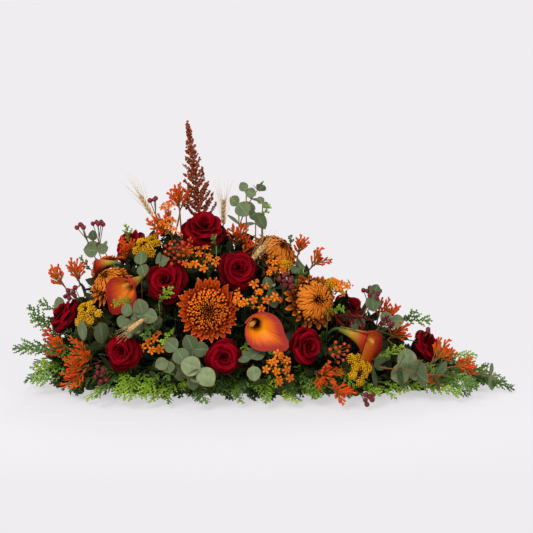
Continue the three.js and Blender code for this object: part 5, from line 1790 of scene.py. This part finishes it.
def ropes():
    """Short hanging ropes of amaranth beside the wine-red plume."""
    piece = Piece("fill_ropes", "wine")
    rng = np.random.default_rng(SEEDS["ropes"])
    for points in ROPES:
        path = through(points, ROPE_POINTS)
        tubes(piece, path[None], 1.6, 6)
        rod(piece, foam_near(path[0]), path[0], 4, 6, 1.3, 5)
        centre = on_path(path, rng.uniform(0, ROPE_POINTS - 1, ROPE_BEADS))
        off = unit(rng.normal(0, 1, (ROPE_BEADS, 3)))
        centre = centre + off * rng.uniform(1, 2.8, (ROPE_BEADS, 1))
        sizes = rng.uniform(0.8, 1.3, ROPE_BEADS)
        lathes(piece, centre, off, BEAD, sizes, 5, 0, rng.uniform(0, 1, ROPE_BEADS))
    piece.build("wine_plume")


def leaf_blades(middle, out, across, length, width, rng):
    """Pointed leaves [N, 5, 3, 3], a little folded and curled."""
    n = len(middle)
    s, w = shares(5, 3)
    length, width = column(length, n, 3), column(width, n, 3)
    half = np.sin(np.pi * s ** 0.8) ** 0.8
    x = length * (s - 0.5)
    y = width / 2 * w * half
    z = width * 0.25 * np.abs(w) * half - rng.uniform(0, 0.3, (n, 1, 1)) * length * (s - 0.4) ** 2
    return lay_out(middle, (out, across, np.cross(out, across)), x, y, z)


def fill_leaves():
    """Leafy stalks that fill the dark depth between the flowers."""
    piece = Piece("fill_leaves", "leaf", "stalk")
    rng = np.random.default_rng(SEEDS["leaves"])
    middles, outs = [], []
    for target, normal in zip(*mound_skin(LEAVES["tries"], rng, high=0.86, left=-375, right=440)):
        target = target - normal * rng.uniform(*LEAVES["depth"])
        foot = foam_near(target)
        way = target - foot
        reach = np.linalg.norm(way)
        if reach < 20 or target[2] < 12:
            continue
        way = way / reach
        rod(piece, foot, target, 4, 4, 0.9, 4, 1)
        for back in np.arange(0, reach - 10, LEAVES["gap"]):
            out = unit(way * 0.4 + rng.normal(0, 0.6, 3))
            middles.append(target - way * back + out * 12)
            outs.append(out)
    middles, outs = np.array(middles), np.array(outs)
    keep = clear_of_blooms(middles, 0.88) & (middles[:, 2] > 14)
    middles, outs = middles[keep], outs[keep]
    n = len(middles)
    across = unit(np.cross(outs, rng.normal(0, 1, (n, 3))))
    lengths = rng.uniform(*LEAVES["length"], n)
    widths = rng.uniform(*LEAVES["width"], n)
    grid = leaf_blades(middles, outs, across, lengths, widths, rng)
    sheets(piece, np.clip(grid, BOX_LOW, BOX_HIGH), 0, rng.uniform(0, 1, n))
    piece.build("eucalyptus_leaf")


# The floor, the light and the camera

def emission(look):
    """Even light in the backdrop's colour."""
    return look.node("ShaderNodeEmission", {"Color": BACKDROP, "Strength": 1.0}).outputs[0]


def backdrop_look():
    """White paper that turns into even light away from the object, so that no horizon shows."""
    look = Look("paper", Roughness=0.9, Specular_IOR_Level=0.1)
    look.shader.inputs["Base Color"].default_value = (0.88, 0.87, 0.88, 1)
    inputs = {0: look.in_object(), 1: SHADOW_SHAPE}
    scaled = look.node("ShaderNodeVectorMath", inputs, operation="MULTIPLY")
    distance = look.node("ShaderNodeVectorMath", {0: scaled.outputs["Vector"]}, operation="LENGTH")
    far = look.math("MAXIMUM", look.levels(distance.outputs["Value"], 0.0, SHADOW_REACH), LEAST_GLOW)
    inputs = {0: far, 1: look.shader.outputs[0], 2: emission(look)}
    return look.show(look.node("ShaderNodeMixShader", inputs).outputs[0])


def glow_look():
    look = Look("glow")
    return look.show(emission(look))


def floor():
    r = FLOOR_HALF
    mesh = bpy.data.meshes.new("floor")
    mesh.from_pydata([(-r, -r, 0), (r, -r, 0), (r, r, 0), (-r, r, 0)], [], [(0, 1, 2, 3)])
    mesh.materials.append(backdrop_look())
    ground = bpy.data.objects.new("floor", mesh)
    bpy.context.scene.collection.objects.link(ground)
    bpy.ops.mesh.primitive_uv_sphere_add(segments=48, ring_count=24, radius=DOME_RADIUS)
    dome = bpy.context.object
    dome.name = "dome"
    dome.data.materials.append(glow_look())
    dome.visible_diffuse = False
    dome.visible_glossy = False
    dome.visible_shadow = False


def softbox(name, place_at, aim, size, power):
    lamp_data = bpy.data.lights.new(name, "AREA")
    lamp_data.shape = "DISK"
    lamp_data.size = size
    lamp_data.energy = power
    lamp = bpy.data.objects.new(name, lamp_data)
    lamp.location = place_at
    lamp.rotation_euler = (Vector(aim) - Vector(place_at)).to_track_quat("-Z", "Y").to_euler()
    bpy.context.scene.collection.objects.link(lamp)


def light():
    world = bpy.data.worlds.new("studio")
    world.use_nodes = True
    background = world.node_tree.nodes["Background"]
    background.inputs["Color"].default_value = SKY
    background.inputs["Strength"].default_value = SKY_STRENGTH
    bpy.context.scene.world = world
    for row in LIGHTS:
        softbox(*row)
    bpy.context.scene.view_settings.view_transform = "Standard"


def camera():
    elevation = math.radians(CAMERA_ELEVATION)
    x, y, z = CAMERA_TARGET
    data = bpy.data.cameras.new("camera")
    data.lens = LENS
    data.sensor_width = SENSOR
    eye = bpy.data.objects.new("camera", data)
    eye.location = (
        x * MM,
        (y - CAMERA_DISTANCE * math.cos(elevation)) * MM,
        (z + CAMERA_DISTANCE * math.sin(elevation)) * MM,
    )
    eye.rotation_euler = (math.radians(90 - CAMERA_ELEVATION), 0, 0)
    bpy.context.scene.collection.objects.link(eye)
    bpy.context.scene.camera = eye


def dress_cad_nodes():
    for node in ("tray", "foam"):
        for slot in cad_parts[node].material_slots:
            slot.material = LOOKS[node]


def build_all():
    for make, rows in ((rose, ROSES), (mum, MUMS), (calla, CALLAS)):
        for row in rows:
            make(*row)
    for make, rows in ((cypress, CYPRESS), (eucalyptus, EUCALYPTUS)):
        for name, row in rows.items():
            make(name, *row)
    for make, rows in ((flame, FLAMES), (stars, STARS), (yarrow, YARROW), (berries, BERRIES)):
        for name, parts in rows.items():
            make(name, parts)
    for name, parts in RED_BERRIES.items():
        berries("red_" + name, parts, "red_berry", RED_BERRY_SIZE)
    round_leaf_twigs()
    light_sprigs()
    ropes()
    for row in PLUMES:
        plume(*row)
    for name, (foot, top) in WHEAT.items():
        wheat(name, foot, top)
    fill_greens()
    fill_leaves()
    skirt()
    ends()
    dress_cad_nodes()


build_all()
floor()
light()
camera()
